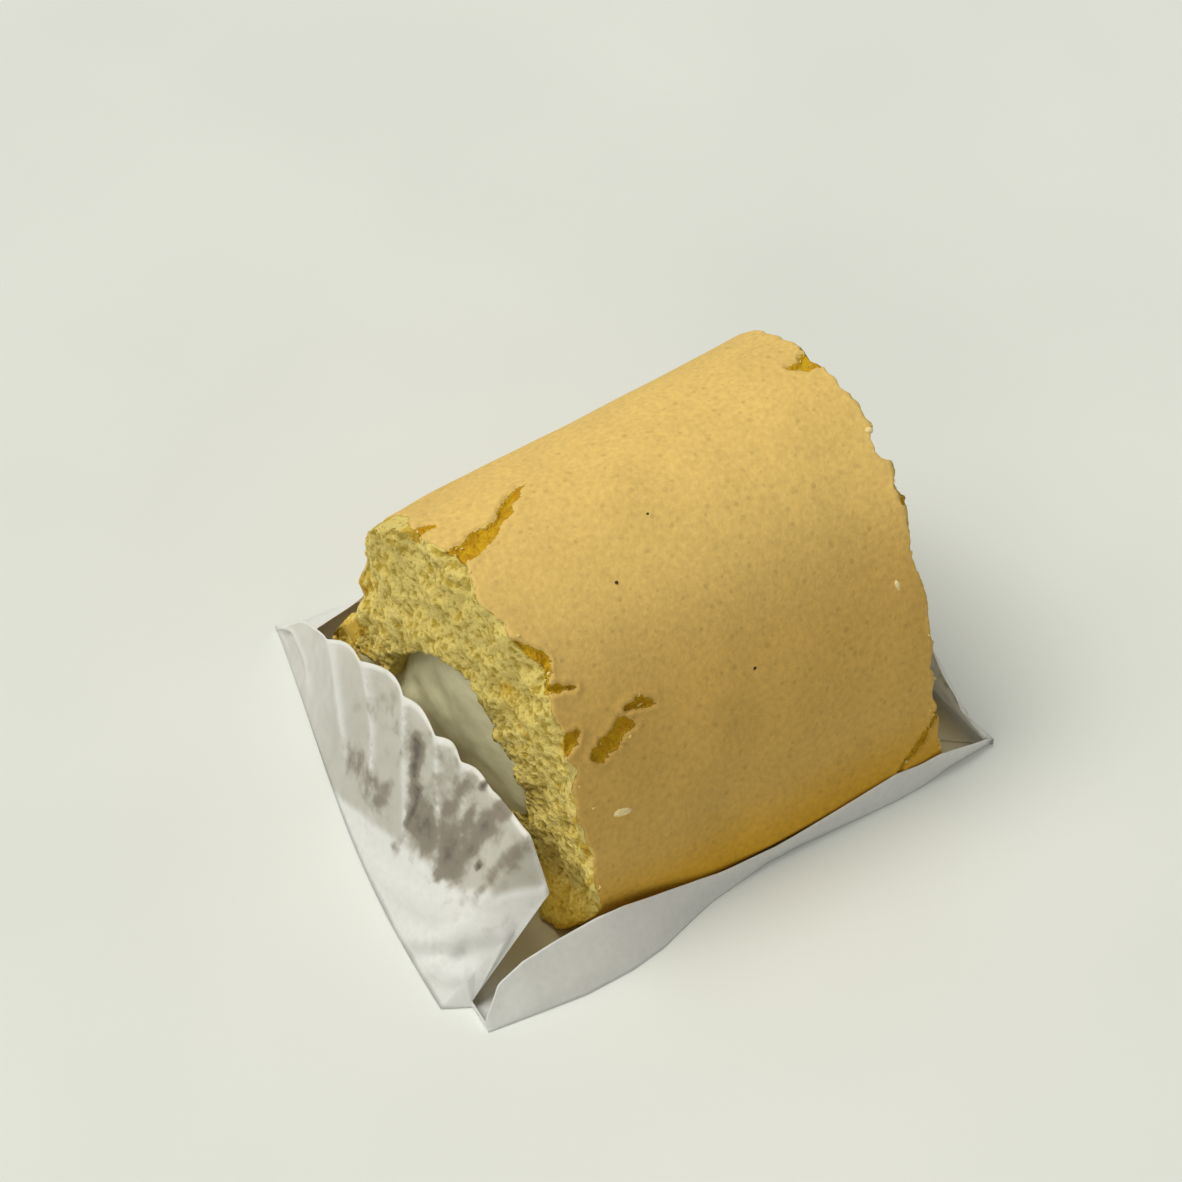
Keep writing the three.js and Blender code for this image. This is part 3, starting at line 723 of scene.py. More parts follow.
def sponge_points(u, v, t, settings):
    """Points and marks of the sponge, by shares along the sheet, through it and along the roll."""
    skin, side = skin_line(u, t), spline(CREAM_LINE, u)
    normal = normals(skin_line(u + 1e-3, t) - skin_line(u - 1e-3, t))
    section = mix(skin, side, v[:, None])
    under = v * np.hypot(*(side - skin).T)
    x, z = spread(section[:, 0], t), section[:, 1] * rise(t)
    s = round_from_crest(skin[:, 0], skin[:, 1])
    plain_y = cut_plane(x, t)
    hollow = crumb_hollows(x, z)
    y, pit, edge = cut_ends(x, z, s, under, t, hollow, settings)
    edge = np.minimum(edge, tear_gap(s, plain_y, PEELS))
    gap = tear_gap(s, plain_y, TEARS)
    torn, bare = smooth(0.22, -0.22, gap), smooth(0.2, -0.2, edge)
    tear_floor = noise(s / 0.9, plain_y / 0.9, 81)
    depth = np.maximum(torn * (settings.tear_depth / MM * (0.8 + 0.35 * tear_floor)),
                       bare * settings.skin_thickness / MM)
    lip = 0.25 * np.exp(-((gap - 0.45) / 0.45) ** 2) * (1 - bare)
    wave = SKIN_RELIEF * noise(plain_y / SKIN_WAVE, (skin[:, 0] + skin[:, 1]) / SKIN_WAVE, 11)
    move = (wave + lip - depth) * np.clip(1 - under / SKIN_REACH, 0, 1) * smooth(0, SKIN_WAVE, skin[:, 1])
    x = x + normal[:, 0] * move
    z = np.maximum(z + normal[:, 1] * move + tail_rise(u, v, plain_y, under), 0)
    on_skin = v == 0
    marks = {
        "torn": np.where(on_skin, torn, 0.0),
        "cut": np.where(on_skin, bare * (1 - torn), 1.0),
        # pit: how far into a pore on a cut, which the material paints darker as shade
        "pit": np.where(on_skin & (torn > 0.2), np.clip(0.5 - 0.7 * tear_floor, 0, 1), pit),
        "amber": amber_share(x, section[:, 1], s, under, t, hollow),
        "loose": np.where(on_skin, np.exp(-np.maximum(np.minimum(gap, edge), 0) / 1.2), 0.25),
    }
    return np.stack([x, y, z], -1) + ROLL_AT, marks


def skin_colour(tree, place, settings):
    """Baked skin: darker down the sides and amber at the foot, partly its own tone and partly painted
    shade; speckled, mottled and pricked.
    """
    height = height_of(tree, place)
    # Painted shade: darker down the sides and at the foot by height, over the skin's own tone
    skin = blend(tree, remap(tree, height, 0.034, 0.052), rgba(settings.skin_side_and_shade), rgba(settings.skin_top))
    skin = blend(tree, remap(tree, height, 0.003, 0.018), rgba(settings.skin_low), skin)
    speckle = remap(tree, grain(tree, place, 0.9, 4.0), 0.25, 0.75, 0.86, 1.1, "LINEAR")
    mottle = remap(tree, grain(tree, place, 14.0, 2.0), 0.3, 0.7, 0.95, 1.05, "LINEAR")
    skin = blend(tree, 1.0, skin, calc(tree, "MULTIPLY", speckle, mottle), "MULTIPLY")
    # Painted shade: fine pores in the skin drawn as dark dots
    prick = remap(tree, dots(tree, place, 1.7, 0.22, "Red"), -0.02, 0.12, 0.86, 1.0)
    return blend(tree, 1.0, skin, prick, "MULTIPLY")


def crumb_colour(tree, place, hole, settings):
    """Cut sponge: mottled, with pores and pinholes darkened as painted shade, and paler low down as painted
    light.
    """
    crumb = blend(tree, grain(tree, place, 2.6, 3.0), rgba(settings.crumb),
                  darker(settings.crumb, (0.93, 0.84, 0.58)))
    # Painted shade: pores and pinholes take the darker pore colour
    crumb = blend(tree, hole, crumb, rgba(settings.pore))
    pinhole = remap(tree, dots(tree, place, 1.25, 0.24, "Green"), -0.02, 0.1, 0.6, 0.0)
    crumb = blend(tree, pinhole, crumb, rgba(settings.pore))
    # Painted light: paler low down inside the case, a little darker higher up
    low = remap(tree, height_of(tree, place), 0.01, 0.025, 1.1, 0.86)
    return blend(tree, 1.0, crumb, low, "MULTIPLY")


def sponge_material(settings):
    material, tree, shader, place = new_material("baked_sponge", 0.82)
    shader.inputs["Specular IOR Level"].default_value = 0.25
    fray = calc(tree, "SUBTRACT", grain(tree, place, 0.5, 3.0), 0.5)
    torn = remap(tree, calc(tree, "ADD", mark_of(tree, "torn"), fray), 0.4, 0.6)
    cut = remap(tree, calc(tree, "ADD", mark_of(tree, "cut"), fray), 0.4, 0.6)
    # Amber at the crumb's foot and in the turned-up end is partly painted shade
    damp_and_shade = remap(tree, calc(tree, "ADD", mark_of(tree, "amber"), fray), 0.2, 0.9, 0.0, 0.75)
    fine = remap(tree, grain(tree, place, 0.55, 3.0), 0.3, 0.7, -0.25, 0.3, "LINEAR")
    # Painted shade: the deeper into a pore, the darker the colour
    hole = remap(tree, calc(tree, "ADD", mark_of(tree, "pit"), fine), 0.15, 0.95)
    amber = blend(tree, hole, rgba(settings.tear), darker(settings.tear, (0.85, 0.72, 0.5)))
    crumb = blend(tree, damp_and_shade, crumb_colour(tree, place, hole, settings), amber)
    base = blend(tree, torn, skin_colour(tree, place, settings), amber)
    open_crumb = remap(tree, calc(tree, "MAXIMUM", torn, cut), 0, 1, 0.25, 1.6)
    rough = calc(tree, "MULTIPLY", grain(tree, place, 0.6, 4.0), open_crumb)
    paint(tree, shader, blend(tree, cut, base, crumb), rough, 0.35)
    return material


class SWISSROLL_OT_sponge(bpy.types.Operator):
    """Roll the sponge sheet, with torn skin and open crumb at its cut ends"""
    bl_idname = "swissroll.sponge"
    bl_label = "Sponge"

    def execute(self, context):
        settings = context.scene.swissroll_sponge
        cell = settings.cell / MM
        u = np.concatenate([even_steps(SKIN_LINE, 0, UNDERSIDE, cell),
                            even_steps(SKIN_LINE, UNDERSIDE, TAIL, 5 * cell)[1:],
                            even_steps(SKIN_LINE, TAIL, 1, 2 * cell)[1:]])
        steps = np.linspace(0, 1, SKIN_STEPS)
        outer = steps - CUT_CROWDING * np.sin(2 * np.pi * steps)
        v = np.linspace(0, 1, DEPTH_STEPS) ** SKIN_CROWDING
        params, faces = closed_block(u, v, outer, np.linspace(0, 1, INNER_STEPS))
        points, marks = sponge_points(*params, settings)
        mesh = make_mesh("sponge", points, faces, marks, sponge_material(settings))
        piece = add_piece("sponge", mesh)
        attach(piece, "root")
        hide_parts("sponge_roll")
        return {"FINISHED"}


# Cream

def inset(share, reach):
    """A point on the sheet's cream side, moved into the sponge by that reach."""
    normal = normals(spline(CREAM_LINE, share + 1e-3) - spline(CREAM_LINE, share - 1e-3))
    return spline(CREAM_LINE, share) + reach * normal


def cream_points(u, v, t, settings):
    """Points and marks of the cream, by shares from its seam to its far end, through it and along it."""
    reach = settings.reach / MM
    lip = np.clip(u / LIP_SHARE, 0, 1)
    first_skin, first_side = SKIN_LINE[0], CREAM_LINE[0]
    under_lip = mix(first_skin, first_side, mix(LIP_START, 1, lip)[:, None])
    under_lip = under_lip + np.stack([-reach * lip, reach + 0 * lip], -1)
    over = inset(CREAM_END * np.clip((u - LIP_SHARE) / (1 - LIP_SHARE), 0, 1), reach)
    over = np.where((u > LIP_SHARE)[:, None], over, under_lip)
    section = mix(over, inset(mix(1, CREAM_END + CREAM_END_CLOSE, u), reach), v[:, None])
    x, z = spread(section[:, 0], t), section[:, 1] * rise(t)
    full = np.sin(np.pi * u) * np.sin(np.pi * v)
    swell = settings.swell / MM * full - settings.set_back / MM
    swell = swell + 0.5 * full * noise(x / 5.5, z / 4.0, 91) + 0.2 * full * noise(x / 2.2, z / 2.2, 92)
    swell = swell - settings.hollow / MM * smooth(0.9, 0.5, u) * smooth(1.0, 0.4, v)
    y = cut_plane(x, t) - swell * (1 - 2 * t)
    sag = 1.0 + noise(y / 6, x / 4, 93) + 0.5 * noise(y / 1.7, x / 1.7, 94)
    z = z - settings.sag / MM * sag * smooth(0.14, 0.04, u) * np.sin(np.pi * v)
    marks = {"seam": smooth(0.16, 0.08, u)}
    return np.stack([x, y, z], -1) + ROLL_AT, marks


def cream_material(settings):
    material, tree, shader, place = new_material("soft_cream", 0.42)
    smear = node(tree, "ShaderNodeMapping", {"Vector": place, "Scale": (1.0, 0.4, 2.2)}).outputs[0]
    streak = remap(tree, grain(tree, smear, 5.0, 3.0), 0.4, 0.75)
    base = blend(tree, streak, rgba(settings.body), rgba(settings.shade))
    # Painted light: paler low down inside the case, a little darker higher up
    low = remap(tree, height_of(tree, place), 0.01, 0.024, 1.15, 0.82)
    base = blend(tree, 1.0, base, low, "MULTIPLY")
    soaked = blend(tree, grain(tree, place, 1.3, 4.0), rgba(settings.seam),
                   darker(settings.seam, (0.75, 0.66, 0.4)))
    base = blend(tree, mark_of(tree, "seam"), base, soaked)
    let_light_in(shader, 0.2, (0.004, 0.003, 0.002), 0.5)
    paint(tree, shader, base, grain(tree, place, 1.6, 3.0), 0.25, 0.5)
    return material


class SWISSROLL_OT_cream(bpy.types.Operator):
    """Fill the roll with cream"""
    bl_idname = "swissroll.cream"
    bl_label = "Cream"

    def execute(self, context):
        settings = context.scene.swissroll_cream
        u, v = np.linspace(0, 1, CREAM_STEPS), np.linspace(0, 1, CREAM_DEPTH_STEPS)
        lengthwise = np.linspace(0, 1, CREAM_LONG_STEPS)
        params, faces = closed_block(u, v, lengthwise, lengthwise)
        points, marks = cream_points(*params, settings)
        piece = add_piece("cream", make_mesh("cream", points, faces, marks, cream_material(settings)))
        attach(piece, "root")
        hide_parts("cream_filling")
        return {"FINISHED"}


# Paper case

def pleat_phase(t, notches):
    """Share of the way through its own pleat at each place along a wall."""
    notches = np.array(notches)
    pleat = np.clip(np.searchsorted(notches, t, side="right") - 1, 0, len(notches) - 2)
    return (t - notches[pleat]) / (notches[pleat + 1] - notches[pleat])


def foot_line(start, end, steps):
    """Shares along a wall and the straight line of its foot."""
    t = np.linspace(0, 1, steps + 1)
    return t, mix(np.array(start), np.array(end), t[:, None])


def pleated_wall(start, end, bow, lean, rim_x, rim_y, height, rim, steps):
    """Stations along a wall that has a straight rim."""
    t, foot = foot_line(start, end, steps)
    foot[:, 1] -= bow * np.sin(np.pi * t ** FRONT_BOW_BIAS)
    lip = np.stack([mix(*rim_x, t), rim_y + lean * smooth(0.6, 1.0, t), height * along(rim, t)], -1)
    return {"share": t, "foot": foot, "lip": lip}


def plain_wall(start, end, rim_x, bow, rim, steps):
    """Stations along a low wall, which leans over more where it is higher."""
    t, foot = foot_line(start, end, steps)
    foot[:, 0] += along(bow, t)
    z = along(rim, t)
    lean = np.minimum(1, z / LEAN_HEIGHT)
    lip = np.stack([mix(foot[:, 0], rim_x, lean), foot[:, 1], z], -1)
    return {"share": t, "foot": foot, "lip": lip}


def cut_corner(a, b, step=CORNER_STEP):
    """One station at a corner, with a low rim."""
    middle = (np.array(a) + np.array(b)) / 2
    out = middle * (1 + step / np.linalg.norm(middle))
    return {"share": np.zeros(1), "foot": out[None], "lip": np.array([[*out, CORNER_LIP]])}


def case_walls():
    """Stations round the fold, each with its foot on the ground and its lip on the rim."""
    front = pleated_wall(FRONT_LEFT, FRONT_RIGHT, FRONT_BOW, FRONT_LEAN, FRONT_RIM_X, FRONT_RIM_Y,
                         FRONT_WALL, FRONT_RIM, FRONT_STEPS)
    back = pleated_wall(BACK_RIGHT, BACK_LEFT, 0.0, 0.0, BACK_RIM_X, BACK_RIM_Y, BACK_WALL, BACK_RIM,
                        BACK_STEPS)
    walls = [cut_corner(FRONT_RIGHT, CORNER_RIGHT, NOTCHED_CORNER),
             plain_wall(CORNER_RIGHT, BACK_RIGHT, RIGHT_RIM_X, RIGHT_BOW, RIGHT_RIM, RIGHT_STEPS),
             cut_corner(BACK_RIGHT, BACK_RIGHT), back, cut_corner(BACK_LEFT, BACK_LEFT),
             plain_wall(BACK_LEFT, FRONT_LEFT, LEFT_RIM_X, LEFT_BOW, LEFT_RIM, LEFT_STEPS),
             cut_corner(FRONT_LEFT, FRONT_LEFT, FLAT_CORNER), front]
    stations = {key: np.concatenate([wall[key] for wall in walls]) for key in walls[0]}
    stations["wall"] = np.concatenate([np.full(len(wall["share"]), i) for i, wall in enumerate(walls)])
    return stations


def case_grid():
    """The unpleated case by station and by step over its base and up its wall: points, the way out of the
    wall, the share along it, the share up it and which wall it is."""
    stations = case_walls()
    lip = stations["lip"]
    foot = np.column_stack([stations["foot"], np.zeros(len(lip))])
    middle = np.array([*CASE_CENTRE, 0.0])
    climb = np.linspace(0, 1, WALL_STEPS + 1)[1:]
    rings = [mix(middle, foot, share) for share in BASE_STEPS] + [mix(foot, lip, share) for share in climb]
    outward = np.cross(np.roll(lip, -1, 0) - np.roll(lip, 1, 0), lip - foot)
    outward /= np.linalg.norm(outward, axis=1)[:, None]
    outward = np.tile(outward[:, None], (1, len(rings), 1))
    t = np.tile(stations["share"][:, None], (1, len(rings)))
    q = np.tile(np.concatenate([0 * BASE_STEPS, climb]), (len(lip), 1))
    wall = np.tile(stations["wall"][:, None], (1, len(rings)))
    return np.stack(rings, 1), outward, t, q, wall


def pleats(t, q, wall):
    """Share of the way through its own pleat at each point, and how full the pleat is there."""
    slanted = t - PLEAT_SLANT * (1 - q)
    front = wall == FRONT
    phase = np.where(front, pleat_phase(slanted, FRONT_NOTCHES), pleat_phase(t, BACK_NOTCHES))
    flute = np.where(front, 1 - smooth(*PLEATS_FADE, slanted), np.where(wall == BACK, 1.0, 0.0))
    return phase, flute * smooth(0, 0.04, t)


def wall_away(t, q, a, b):
    """Distance from a line on the front wall, in millimetres."""
    size = np.array([WALL_WIDE, WALL_HIGH])
    return line_away(t * WALL_WIDE, q * WALL_HIGH, a * size, b * size)[0]


def paper_lift(t, q, wall, above, settings):
    """How far creases, the clean flap at the right of the front wall and crumple lift the paper."""
    front = wall == FRONT
    lift = np.zeros(q.shape)
    for a, b, height in CREASES:
        away = wall_away(t, q, a, b)
        lift += np.where(front, height * np.maximum(0, 1 - away / CREASE_HALF_WIDTH), 0)
    lift += 0.5 * np.where(front, (1 - above) * smooth(0.7, 0.82, t), 0.0)
    facets = noise(t * WALL_WIDE / 9 + wall, q * 1.6, 101)
    facets = facets + 0.5 * noise(t * WALL_WIDE / 4 + wall, q * 3, 102)
    ends = smooth(0, 0.05, t) * smooth(1, 0.95, t) * np.where(wall == RIGHT, 0.35, 1.0)
    lift += settings.crumple / MM * facets * ends * smooth(0, 0.25, q)
    return lift * smooth(0, 0.12, q)


def ragged(t, q, seed):
    """How far the edge of a stain strays, in millimetres."""
    across, up = t * WALL_WIDE, q * WALL_HIGH
    return 0.9 * noise(across / 4, up / 4, seed) + 0.6 * noise(across / 1.6, up / 1.6, seed + 1)


def grease_and_shade_stains(t, q):
    """Strength of the greasy stains on the front wall, whose darkness is partly painted shade seen through
    the soaked paper.
    """
    ragged_t, ragged_q = t + ragged(t, q, 103) / WALL_WIDE, q + ragged(t, q, 105) / WALL_HIGH
    soak_and_shade = np.zeros(q.shape)
    for a, b, half, strength in STAINS:
        away = wall_away(ragged_t, ragged_q, a, b)
        soak_and_shade = np.maximum(soak_and_shade, strength * np.exp(-0.8 * (away / half) ** 2))
    return soak_and_shade


def oil_and_light_share(points):
    """How strongly the base is tinted, by its distance from the cake: partly greasy paper, partly painted
    shade and amber bounce light.
    """
    x, y = points[..., 0], points[..., 1]
    away = np.maximum.reduce([cut_plane(x, 0) - y - OIL_AND_LIGHT_FRONT, x - HALF_WIDTH, -x - OIL_AND_LIGHT_LEFT,
                              y - cut_plane(x, 1) + OIL_AND_LIGHT_BACK])
    on_base = np.concatenate([BASE_STEPS < OIL_AND_LIGHT_EDGE, np.zeros(WALL_STEPS, bool)])
    return np.where(on_base, np.exp(-np.maximum(away, 0) / OIL_AND_LIGHT_FADE), 0.0)


def with_middle(field, value):
    """A row of a field's values, with its value in the middle of the base at the end."""
    row = field.reshape(-1, *field.shape[2:])
    return np.concatenate([row, np.broadcast_to(value, (1, *row.shape[1:]))])


def case_sheet(settings):
    """The case before it is pleated: points, faces and what the pleats and the paper's look follow."""
    points, outward, t, q, wall = case_grid()
    front = wall == FRONT
    phase, flute = pleats(t, q, wall)
    above = smooth(-0.03, 0.04, q - along(CLEAN_EDGE, t))
    points = points + outward * paper_lift(t, q, wall, above, settings)[..., None]
    points[..., 2] = np.maximum(points[..., 2], 0) + settings.thickness / MM
    # Painted highlight: paler lines along the pleats' folds
    fold = np.exp(-(np.minimum(phase, 1 - phase) / 0.1) ** 2) * flute * smooth(0.1, 0.45, q)
    back_soak = np.where(wall == BACK, 0.35 * np.exp(-((q - 0.45) / 0.3) ** 2), 0)
    # Greasy stains, darkened partly as painted shade seen through the soaked paper
    soak_and_shade = np.where(front, grease_and_shade_stains(t, q) * (1 - 0.15 * fold), back_soak)
    # Painted shade seen through the thin upper paper, less at the left, with painted highlight along the
    # folds and at the rim
    see_through_shade = above * (1 - 0.55 * fold) * mix(0.7, 1.0, smooth(0.2, 0.5, t)) * (1 - smooth(0.955, 0.985, q))
    index = np.arange(q.size).reshape(q.shape)
    ring = np.vstack([index, index[:1]])
    faces = squares(ring).tolist()
    faces += [[q.size, int(b), int(a)] for a, b in zip(ring[:-1, 0], ring[1:, 0])]
    marks = {"climb": q, "phase": phase, "flute": flute, "see_through_shade": np.where(front, see_through_shade, 0.0),
             "outward": outward, "soak_and_shade": soak_and_shade}
    marks = {name: with_middle(field, 0.0) for name, field in marks.items()}
    marks["oil"] = with_middle(oil_and_light_share(points), 1.0)
    return with_middle(points, (*CASE_CENTRE, settings.thickness / MM)) + CASE_AT, faces, marks


def pleat_tree(material):
    """Presses the pleats into the walls: each lobe goes in and rises between the folds beside it."""
    tree, given = new_tree("pleats", {"Pleat Depth": "Float", "Scallop": "Float", "Notch Share": "Float"})
    lobe = calc(tree, "SINE", calc(tree, "MULTIPLY", named_mark(tree, "phase"), math.pi))
    bulge = calc(tree, "SUBTRACT", lobe, given["Notch Share"])
    bulge = calc(tree, "MULTIPLY", bulge, named_mark(tree, "flute"))
    bulge = calc(tree, "MULTIPLY", bulge, named_mark(tree, "climb"))
    inward = calc(tree, "MULTIPLY", bulge, calc(tree, "MULTIPLY", given["Pleat Depth"], -1.0))
    out = scaled(tree, named_mark(tree, "outward", "FLOAT_VECTOR"), inward)
    rising = calc(tree, "MULTIPLY", bulge, given["Scallop"])
    up = node(tree, "ShaderNodeCombineXYZ", {"Z": rising}).outputs[0]
    move = node(tree, "ShaderNodeVectorMath", {0: out, 1: up}, operation="ADD").outputs[0]
    pressed = node(tree, "GeometryNodeSetPosition", {"Geometry": given["Geometry"], "Offset": move})
    end_tree(tree, pressed.outputs[0], material)
    return tree


def paper_material(settings):
    material, tree, shader, place = new_material("greaseproof_paper", 0.55)
    blot = remap(tree, grain(tree, place, 2.4, 4.0), 0.3, 0.7, -0.3, 0.3, "LINEAR")
    soak_and_shade = calc(tree, "ADD", mark_of(tree, "soak_and_shade"), calc(tree, "MULTIPLY", blot, 0.9))
    fibre = remap(tree, grain(tree, place, 1.2, 4.0), 0.3, 0.7, 0.96, 1.03, "LINEAR")
    # Painted shade seen through the thin paper
    see_through_shade = calc(tree, "ADD", mark_of(tree, "see_through_shade"), calc(tree, "MULTIPLY", blot, 0.3))
    clean = blend(tree, remap(tree, see_through_shade, 0.1, 1.1), rgba(settings.paper), rgba(settings.see_through_shade))
    clean = blend(tree, 1.0, clean, fibre, "MULTIPLY")
    # Base beside the cake: partly greasy paper, partly painted shade and amber bounce light; further out
    # brightened as painted light
    oil = mark_of(tree, "oil")
    oil_and_light_tone = blend(tree, remap(tree, oil, 0.3, 1.0), rgba(settings.tan), rgba(settings.oil))
    clean = blend(tree, remap(tree, oil, 0.02, 0.25), clean, oil_and_light_tone)
    # Greasy stains, darkened partly as painted shade seen through the soaked paper
    stained = blend(tree, remap(tree, soak_and_shade, 0.15, 0.8), clean, rgba(settings.grease_and_shade))
    stained = blend(tree, remap(tree, soak_and_shade, 0.85, 1.35), stained, rgba(settings.soaked))
    let_light_in(shader, 0.5, (1.0, 1.0, 0.9), 0.001)
    paint(tree, shader, stained, grain(tree, place, 2.0, 3.0), 0.12, 0.6)
    return material


class SWISSROLL_OT_case(bpy.types.Operator):
    """Fold the paper case and press its pleats"""
    bl_idname = "swissroll.case"
    bl_label = "Paper case"

    def execute(self, context):
        settings = context.scene.swissroll_case
        material = paper_material(settings)
        points, faces, marks = case_sheet(settings)
        piece = add_piece("paper", make_mesh("paper", points, faces, marks, material))
        values = {"Pleat Depth": settings.pleat_depth, "Scallop": settings.scallop,
                  "Notch Share": NOTCH_SHARE}
        run_tree(piece, pleat_tree(material), values)
        thick = piece.modifiers.new("thickness", "SOLIDIFY")
        thick.thickness = settings.thickness
        thick.offset = 0.0
        settle(piece)
        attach(piece, "root")
        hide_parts("paper_case")
        return {"FINISHED"}


# Crumbs

def crumb_tree(material):
    """Scatters uneven crumbs where the sponge is loose."""
    tree, given = new_tree("crumbs", {"Crumb Size": "Float", "Density": "Float", "Seed": "Int"})

    def random(least, most):
        return node(tree, "FunctionNodeRandomValue", {"Min": least, "Max": most, "Seed": given["Seed"]},
                    data_type="FLOAT_VECTOR").outputs[0]

    loose = calc(tree, "POWER", named_mark(tree, "loose"), 2.0)
    thick = calc(tree, "MULTIPLY", loose, given["Density"])
    scattered = node(tree, "GeometryNodeDistributePointsOnFaces",
                     {"Mesh": given["Geometry"], "Density": thick, "Seed": given["Seed"]})
    ball = node(tree, "GeometryNodeMeshUVSphere",
                {"Segments": 6, "Rings": 5, "Radius": given["Crumb Size"]})
    turn, size = random((0.0, 0.0, 0.0), CRUMB_TURN), random(CRUMB_LEAST, CRUMB_MOST)
    placed = node(tree, "GeometryNodeInstanceOnPoints",
                  {"Points": scattered.outputs["Points"], "Instance": ball.outputs["Mesh"],
                   "Rotation": turn, "Scale": size})
    crumbs = node(tree, "GeometryNodeRealizeInstances", {0: placed.outputs[0]})
    lump = node(tree, "ShaderNodeTexNoise", {"Scale": LUMP_SCALE, "Detail": 1.0})
    shift = node(tree, "ShaderNodeVectorMath", {0: lump.outputs["Color"], 1: (0.5, 0.5, 0.5)},
                 operation="SUBTRACT")
    uneven = node(tree, "GeometryNodeSetPosition",
                  {"Geometry": crumbs.outputs[0], "Offset": scaled(tree, shift.outputs[0], LUMP_HEIGHT)})
    end_tree(tree, uneven.outputs[0], material)
    return tree


def crumb_material(name, tint):
    material, tree, shader, place = new_material(name, 0.85)
    tone = blend(tree, grain(tree, place, 1.4, 2.0), rgba(tint), darker(tint, (0.85, 0.75, 0.5)))
    paint(tree, shader, tone, grain(tree, place, 0.3, 2.0), 0.15)
    return material


class SWISSROLL_OT_crumbs(bpy.types.Operator):
    """Scatter crumbs along the torn edges"""
    bl_idname = "swissroll.crumbs"
    bl_label = "Crumbs"

    def execute(self, context):
        settings = context.scene.swissroll_crumbs
        material = crumb_material("loose_crumb", settings.pale)
        piece = add_piece("crumbs", bpy.data.objects["sponge"].data.copy())
        values = {"Crumb Size": settings.size, "Density": settings.density, "Seed": settings.seed}
        run_tree(piece, crumb_tree(material), values)
        settle(piece)
        piece.data.name = "crumbs"
        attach(piece, "root")
        return {"FINISHED"}


def skin_frame(angle, y):
    """A place on the skin with its directions along the roll, round it and out of it."""
    turn = math.radians(angle)
    lift = rise((y - FRONT_Y) / LENGTH)
    place = np.array([HALF_WIDTH * math.sin(turn), y, HEIGHT * math.cos(turn) * lift])
    out = np.array([place[0] / HALF_WIDTH ** 2, 0.0, place[2] / HEIGHT ** 2])
    out /= np.linalg.norm(out)
    forward = np.array([0.0, 1.0, 0.0])
    return place + ROLL_AT, np.stack([forward, np.cross(forward, out), out])


def flake_mesh(materials):
    """All the flakes as one mesh of uneven lumps."""
    ball = bmesh.new()
    bmesh.ops.create_icosphere(ball, subdivisions=2, radius=1.0)
    unit = np.array([vertex.co for vertex in ball.verts])
    sides = [[vertex.index for vertex in face.verts] for face in ball.faces]
    ball.free()
    points, faces, dark = [], [], []
    for k, (angle, y, long, wide, high, turn, is_dark) in enumerate(FLAKES):
        place, axes = skin_frame(angle, y)
        uneven = 1 + 0.25 * noise(unit[:, 0] * 2 + 7 * k, unit[:, 1] * 2 + unit[:, 2], 111)
        lump = unit * uneven[:, None] * (long, wide, high)
        cosine, sine = math.cos(math.radians(turn)), math.sin(math.radians(turn))
        lump = lump @ np.array([[cosine, sine, 0], [-sine, cosine, 0], [0, 0, 1]])
        points.append(lump @ axes + place)
        faces += [[k * len(unit) + corner for corner in side] for side in sides]
        dark += [int(is_dark)] * len(sides)
    mesh = make_mesh("flakes", np.vstack(points), faces, {}, materials[0])
    mesh.materials.append(materials[1])
    mesh.polygons.foreach_set("material_index", dark)
    return mesh


class SWISSROLL_OT_flakes(bpy.types.Operator):
    """Lay the few bigger flakes and dark specks on the skin"""
    bl_idname = "swissroll.flakes"
    bl_label = "Flakes"

    def execute(self, context):
        settings = context.scene.swissroll_crumbs
        materials = [crumb_material("pale_flake", settings.flake),
                     crumb_material("dark_speck", settings.speck)]
        piece = add_piece("flakes", flake_mesh(materials))
        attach(piece, "root")
        return {"FINISHED"}


# Stage

def add_lamp(name, way, width, strength):
    """An even light from that side, as wide as a big diffuser."""
    lamp = bpy.data.lights.new(name, "SUN")
    lamp.angle = math.radians(width)
    lamp.energy = strength
    lamp.color = LAMP_COLOUR
    made = bpy.data.objects.new(name, lamp)
    made.rotation_euler = Vector(way).to_track_quat("Z", "Y").to_euler()
    bpy.context.scene.collection.objects.link(made)


def add_sky(scene):
    """A plain sky that lights every side a little."""
    scene.world = bpy.data.worlds.new("studio")
    scene.world.use_nodes = True
    sky = scene.world.node_tree.nodes["Background"]
    sky.inputs["Color"].default_value = rgba(SKY_COLOUR)
    sky.inputs["Strength"].default_value = SKY_STRENGTH


def add_camera(scene, settings):
    """A camera that looks at the middle of the slice."""
    low, high = (Vector(corner) for corner in CAD_BOX)
    middle = Vector(((ROLL_AT[0] + AIM[0]) * MM, (ROLL_AT[1] + AIM[1]) * MM, (low.z + high.z) / 2))
    level = math.cos(settings.elevation)
    way = Vector((math.sin(settings.azimuth) * level, -math.cos(settings.azimuth) * level,
                  math.sin(settings.elevation)))
    lens = bpy.data.cameras.new("camera")
    lens.lens = settings.lens
    lens.sensor_width = SENSOR_WIDTH
    camera = bpy.data.objects.new("camera", lens)
    camera.location = middle + way * settings.distance
    camera.rotation_euler = (-way).to_track_quat("-Z", "Y").to_euler()
    scene.collection.objects.link(camera)
    scene.camera = camera


def floor_material(settings):
    material, tree, shader, place = new_material("pale_floor", 0.45)
    tone = remap(tree, grain(tree, place, 60.0, 2.0), 0.3, 0.7, 0.98, 1.02, "LINEAR")
    tree.links.new(blend(tree, 1.0, rgba(settings.floor), tone, "MULTIPLY"), shader.inputs["Base Color"])
    return material


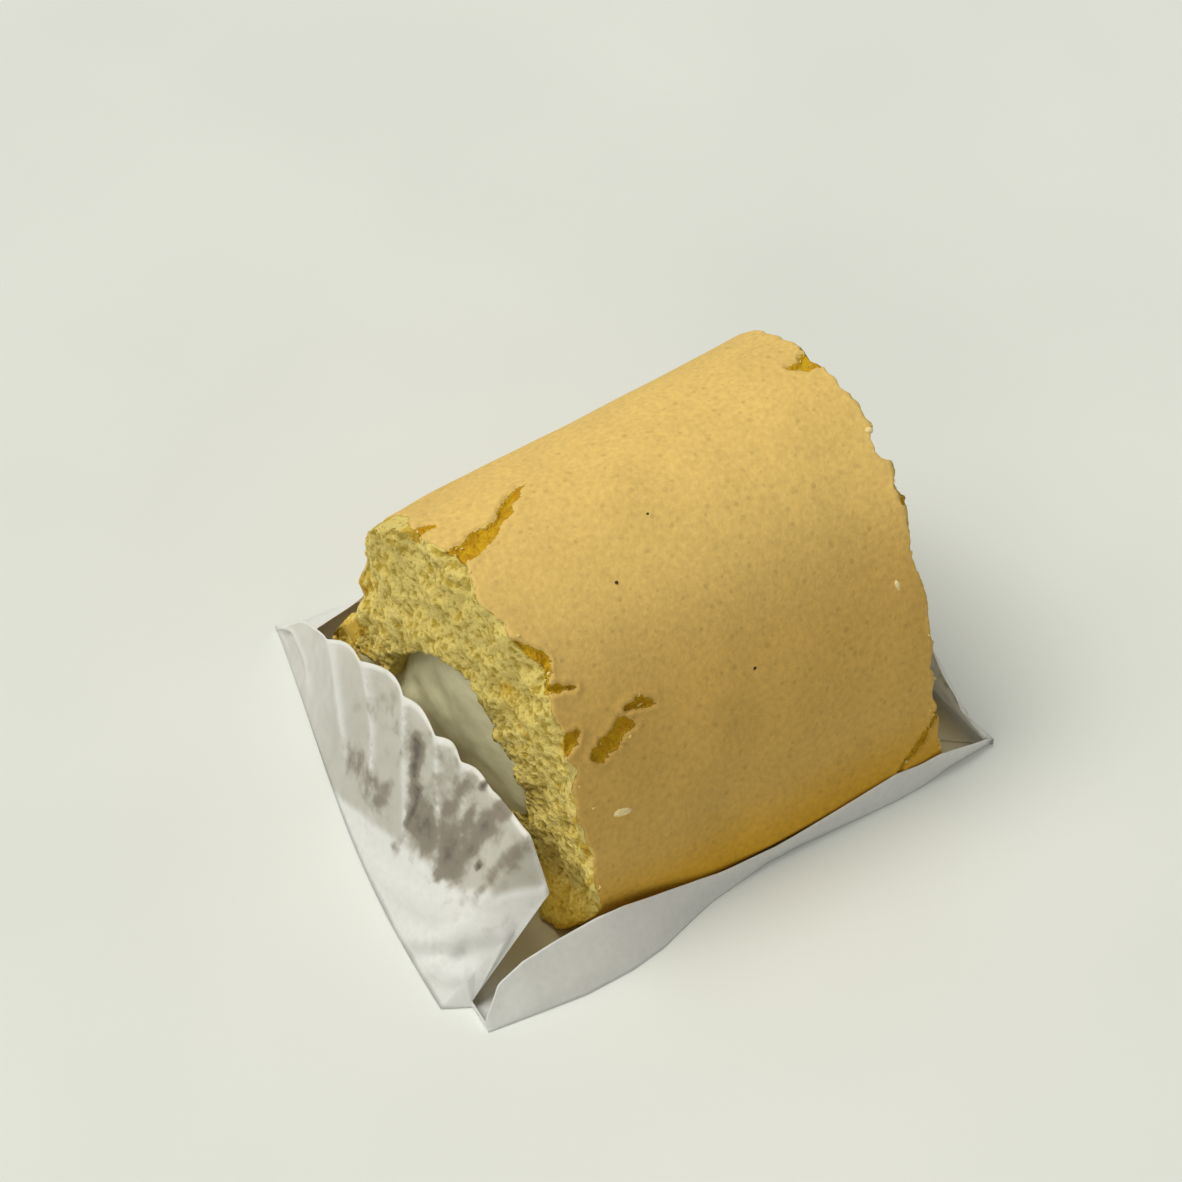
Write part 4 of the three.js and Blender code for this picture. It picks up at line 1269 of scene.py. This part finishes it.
class SWISSROLL_OT_stage(bpy.types.Operator):
    """Set the floor, the light and the camera"""
    bl_idname = "swissroll.stage"
    bl_label = "Stage"

    def execute(self, context):
        scene = context.scene
        settings = scene.swissroll_stage
        corners = FLOOR_HALF * np.array([[-1, -1, 0], [1, -1, 0], [1, 1, 0], [-1, 1, 0]])
        mesh = make_mesh("floor", corners, [[0, 1, 2, 3]], {}, floor_material(settings))
        add_piece("floor", mesh)
        add_sky(scene)
        for lamp in LAMPS:
            add_lamp(*lamp)
        add_camera(scene, settings)
        scene.view_settings.view_transform = "Standard"
        return {"FINISHED"}


class SWISSROLL_PT_slice(bpy.types.Panel):
    """Makes the slice piece by piece"""
    bl_idname = "SWISSROLL_PT_slice"
    bl_label = "Swiss Roll"
    bl_space_type = "VIEW_3D"
    bl_region_type = "UI"
    bl_category = "Swiss Roll"

    def draw(self, context):
        for operator, settings in STEPS:
            self.layout.operator(operator.bl_idname)
            box = self.layout.box()
            group = getattr(context.scene, settings)
            for name in group.bl_rna.properties.keys():
                if name not in {"rna_type", "name"}:
                    box.prop(group, name)


SETTINGS = {"swissroll_sponge": SpongeSettings, "swissroll_cream": CreamSettings,
            "swissroll_case": CaseSettings, "swissroll_crumbs": CrumbSettings,
            "swissroll_stage": StageSettings}
STEPS = [(SWISSROLL_OT_sponge, "swissroll_sponge"), (SWISSROLL_OT_cream, "swissroll_cream"),
         (SWISSROLL_OT_case, "swissroll_case"), (SWISSROLL_OT_crumbs, "swissroll_crumbs"),
         (SWISSROLL_OT_flakes, "swissroll_crumbs"), (SWISSROLL_OT_stage, "swissroll_stage")]
CLASSES = [*SETTINGS.values(), *(operator for operator, _ in STEPS), SWISSROLL_PT_slice]


def register():
    for item in CLASSES:
        bpy.utils.register_class(item)
    for name, group in SETTINGS.items():
        setattr(bpy.types.Scene, name, bpy.props.PointerProperty(type=group))


def unregister():
    for name in SETTINGS:
        delattr(bpy.types.Scene, name)
    for item in reversed(CLASSES):
        bpy.utils.unregister_class(item)


def main():
    register()
    bpy.ops.swissroll.sponge()
    bpy.ops.swissroll.cream()
    bpy.ops.swissroll.case()
    bpy.ops.swissroll.crumbs()
    bpy.ops.swissroll.flakes()
    bpy.ops.swissroll.stage()


if __name__ == "__main__":
    main()
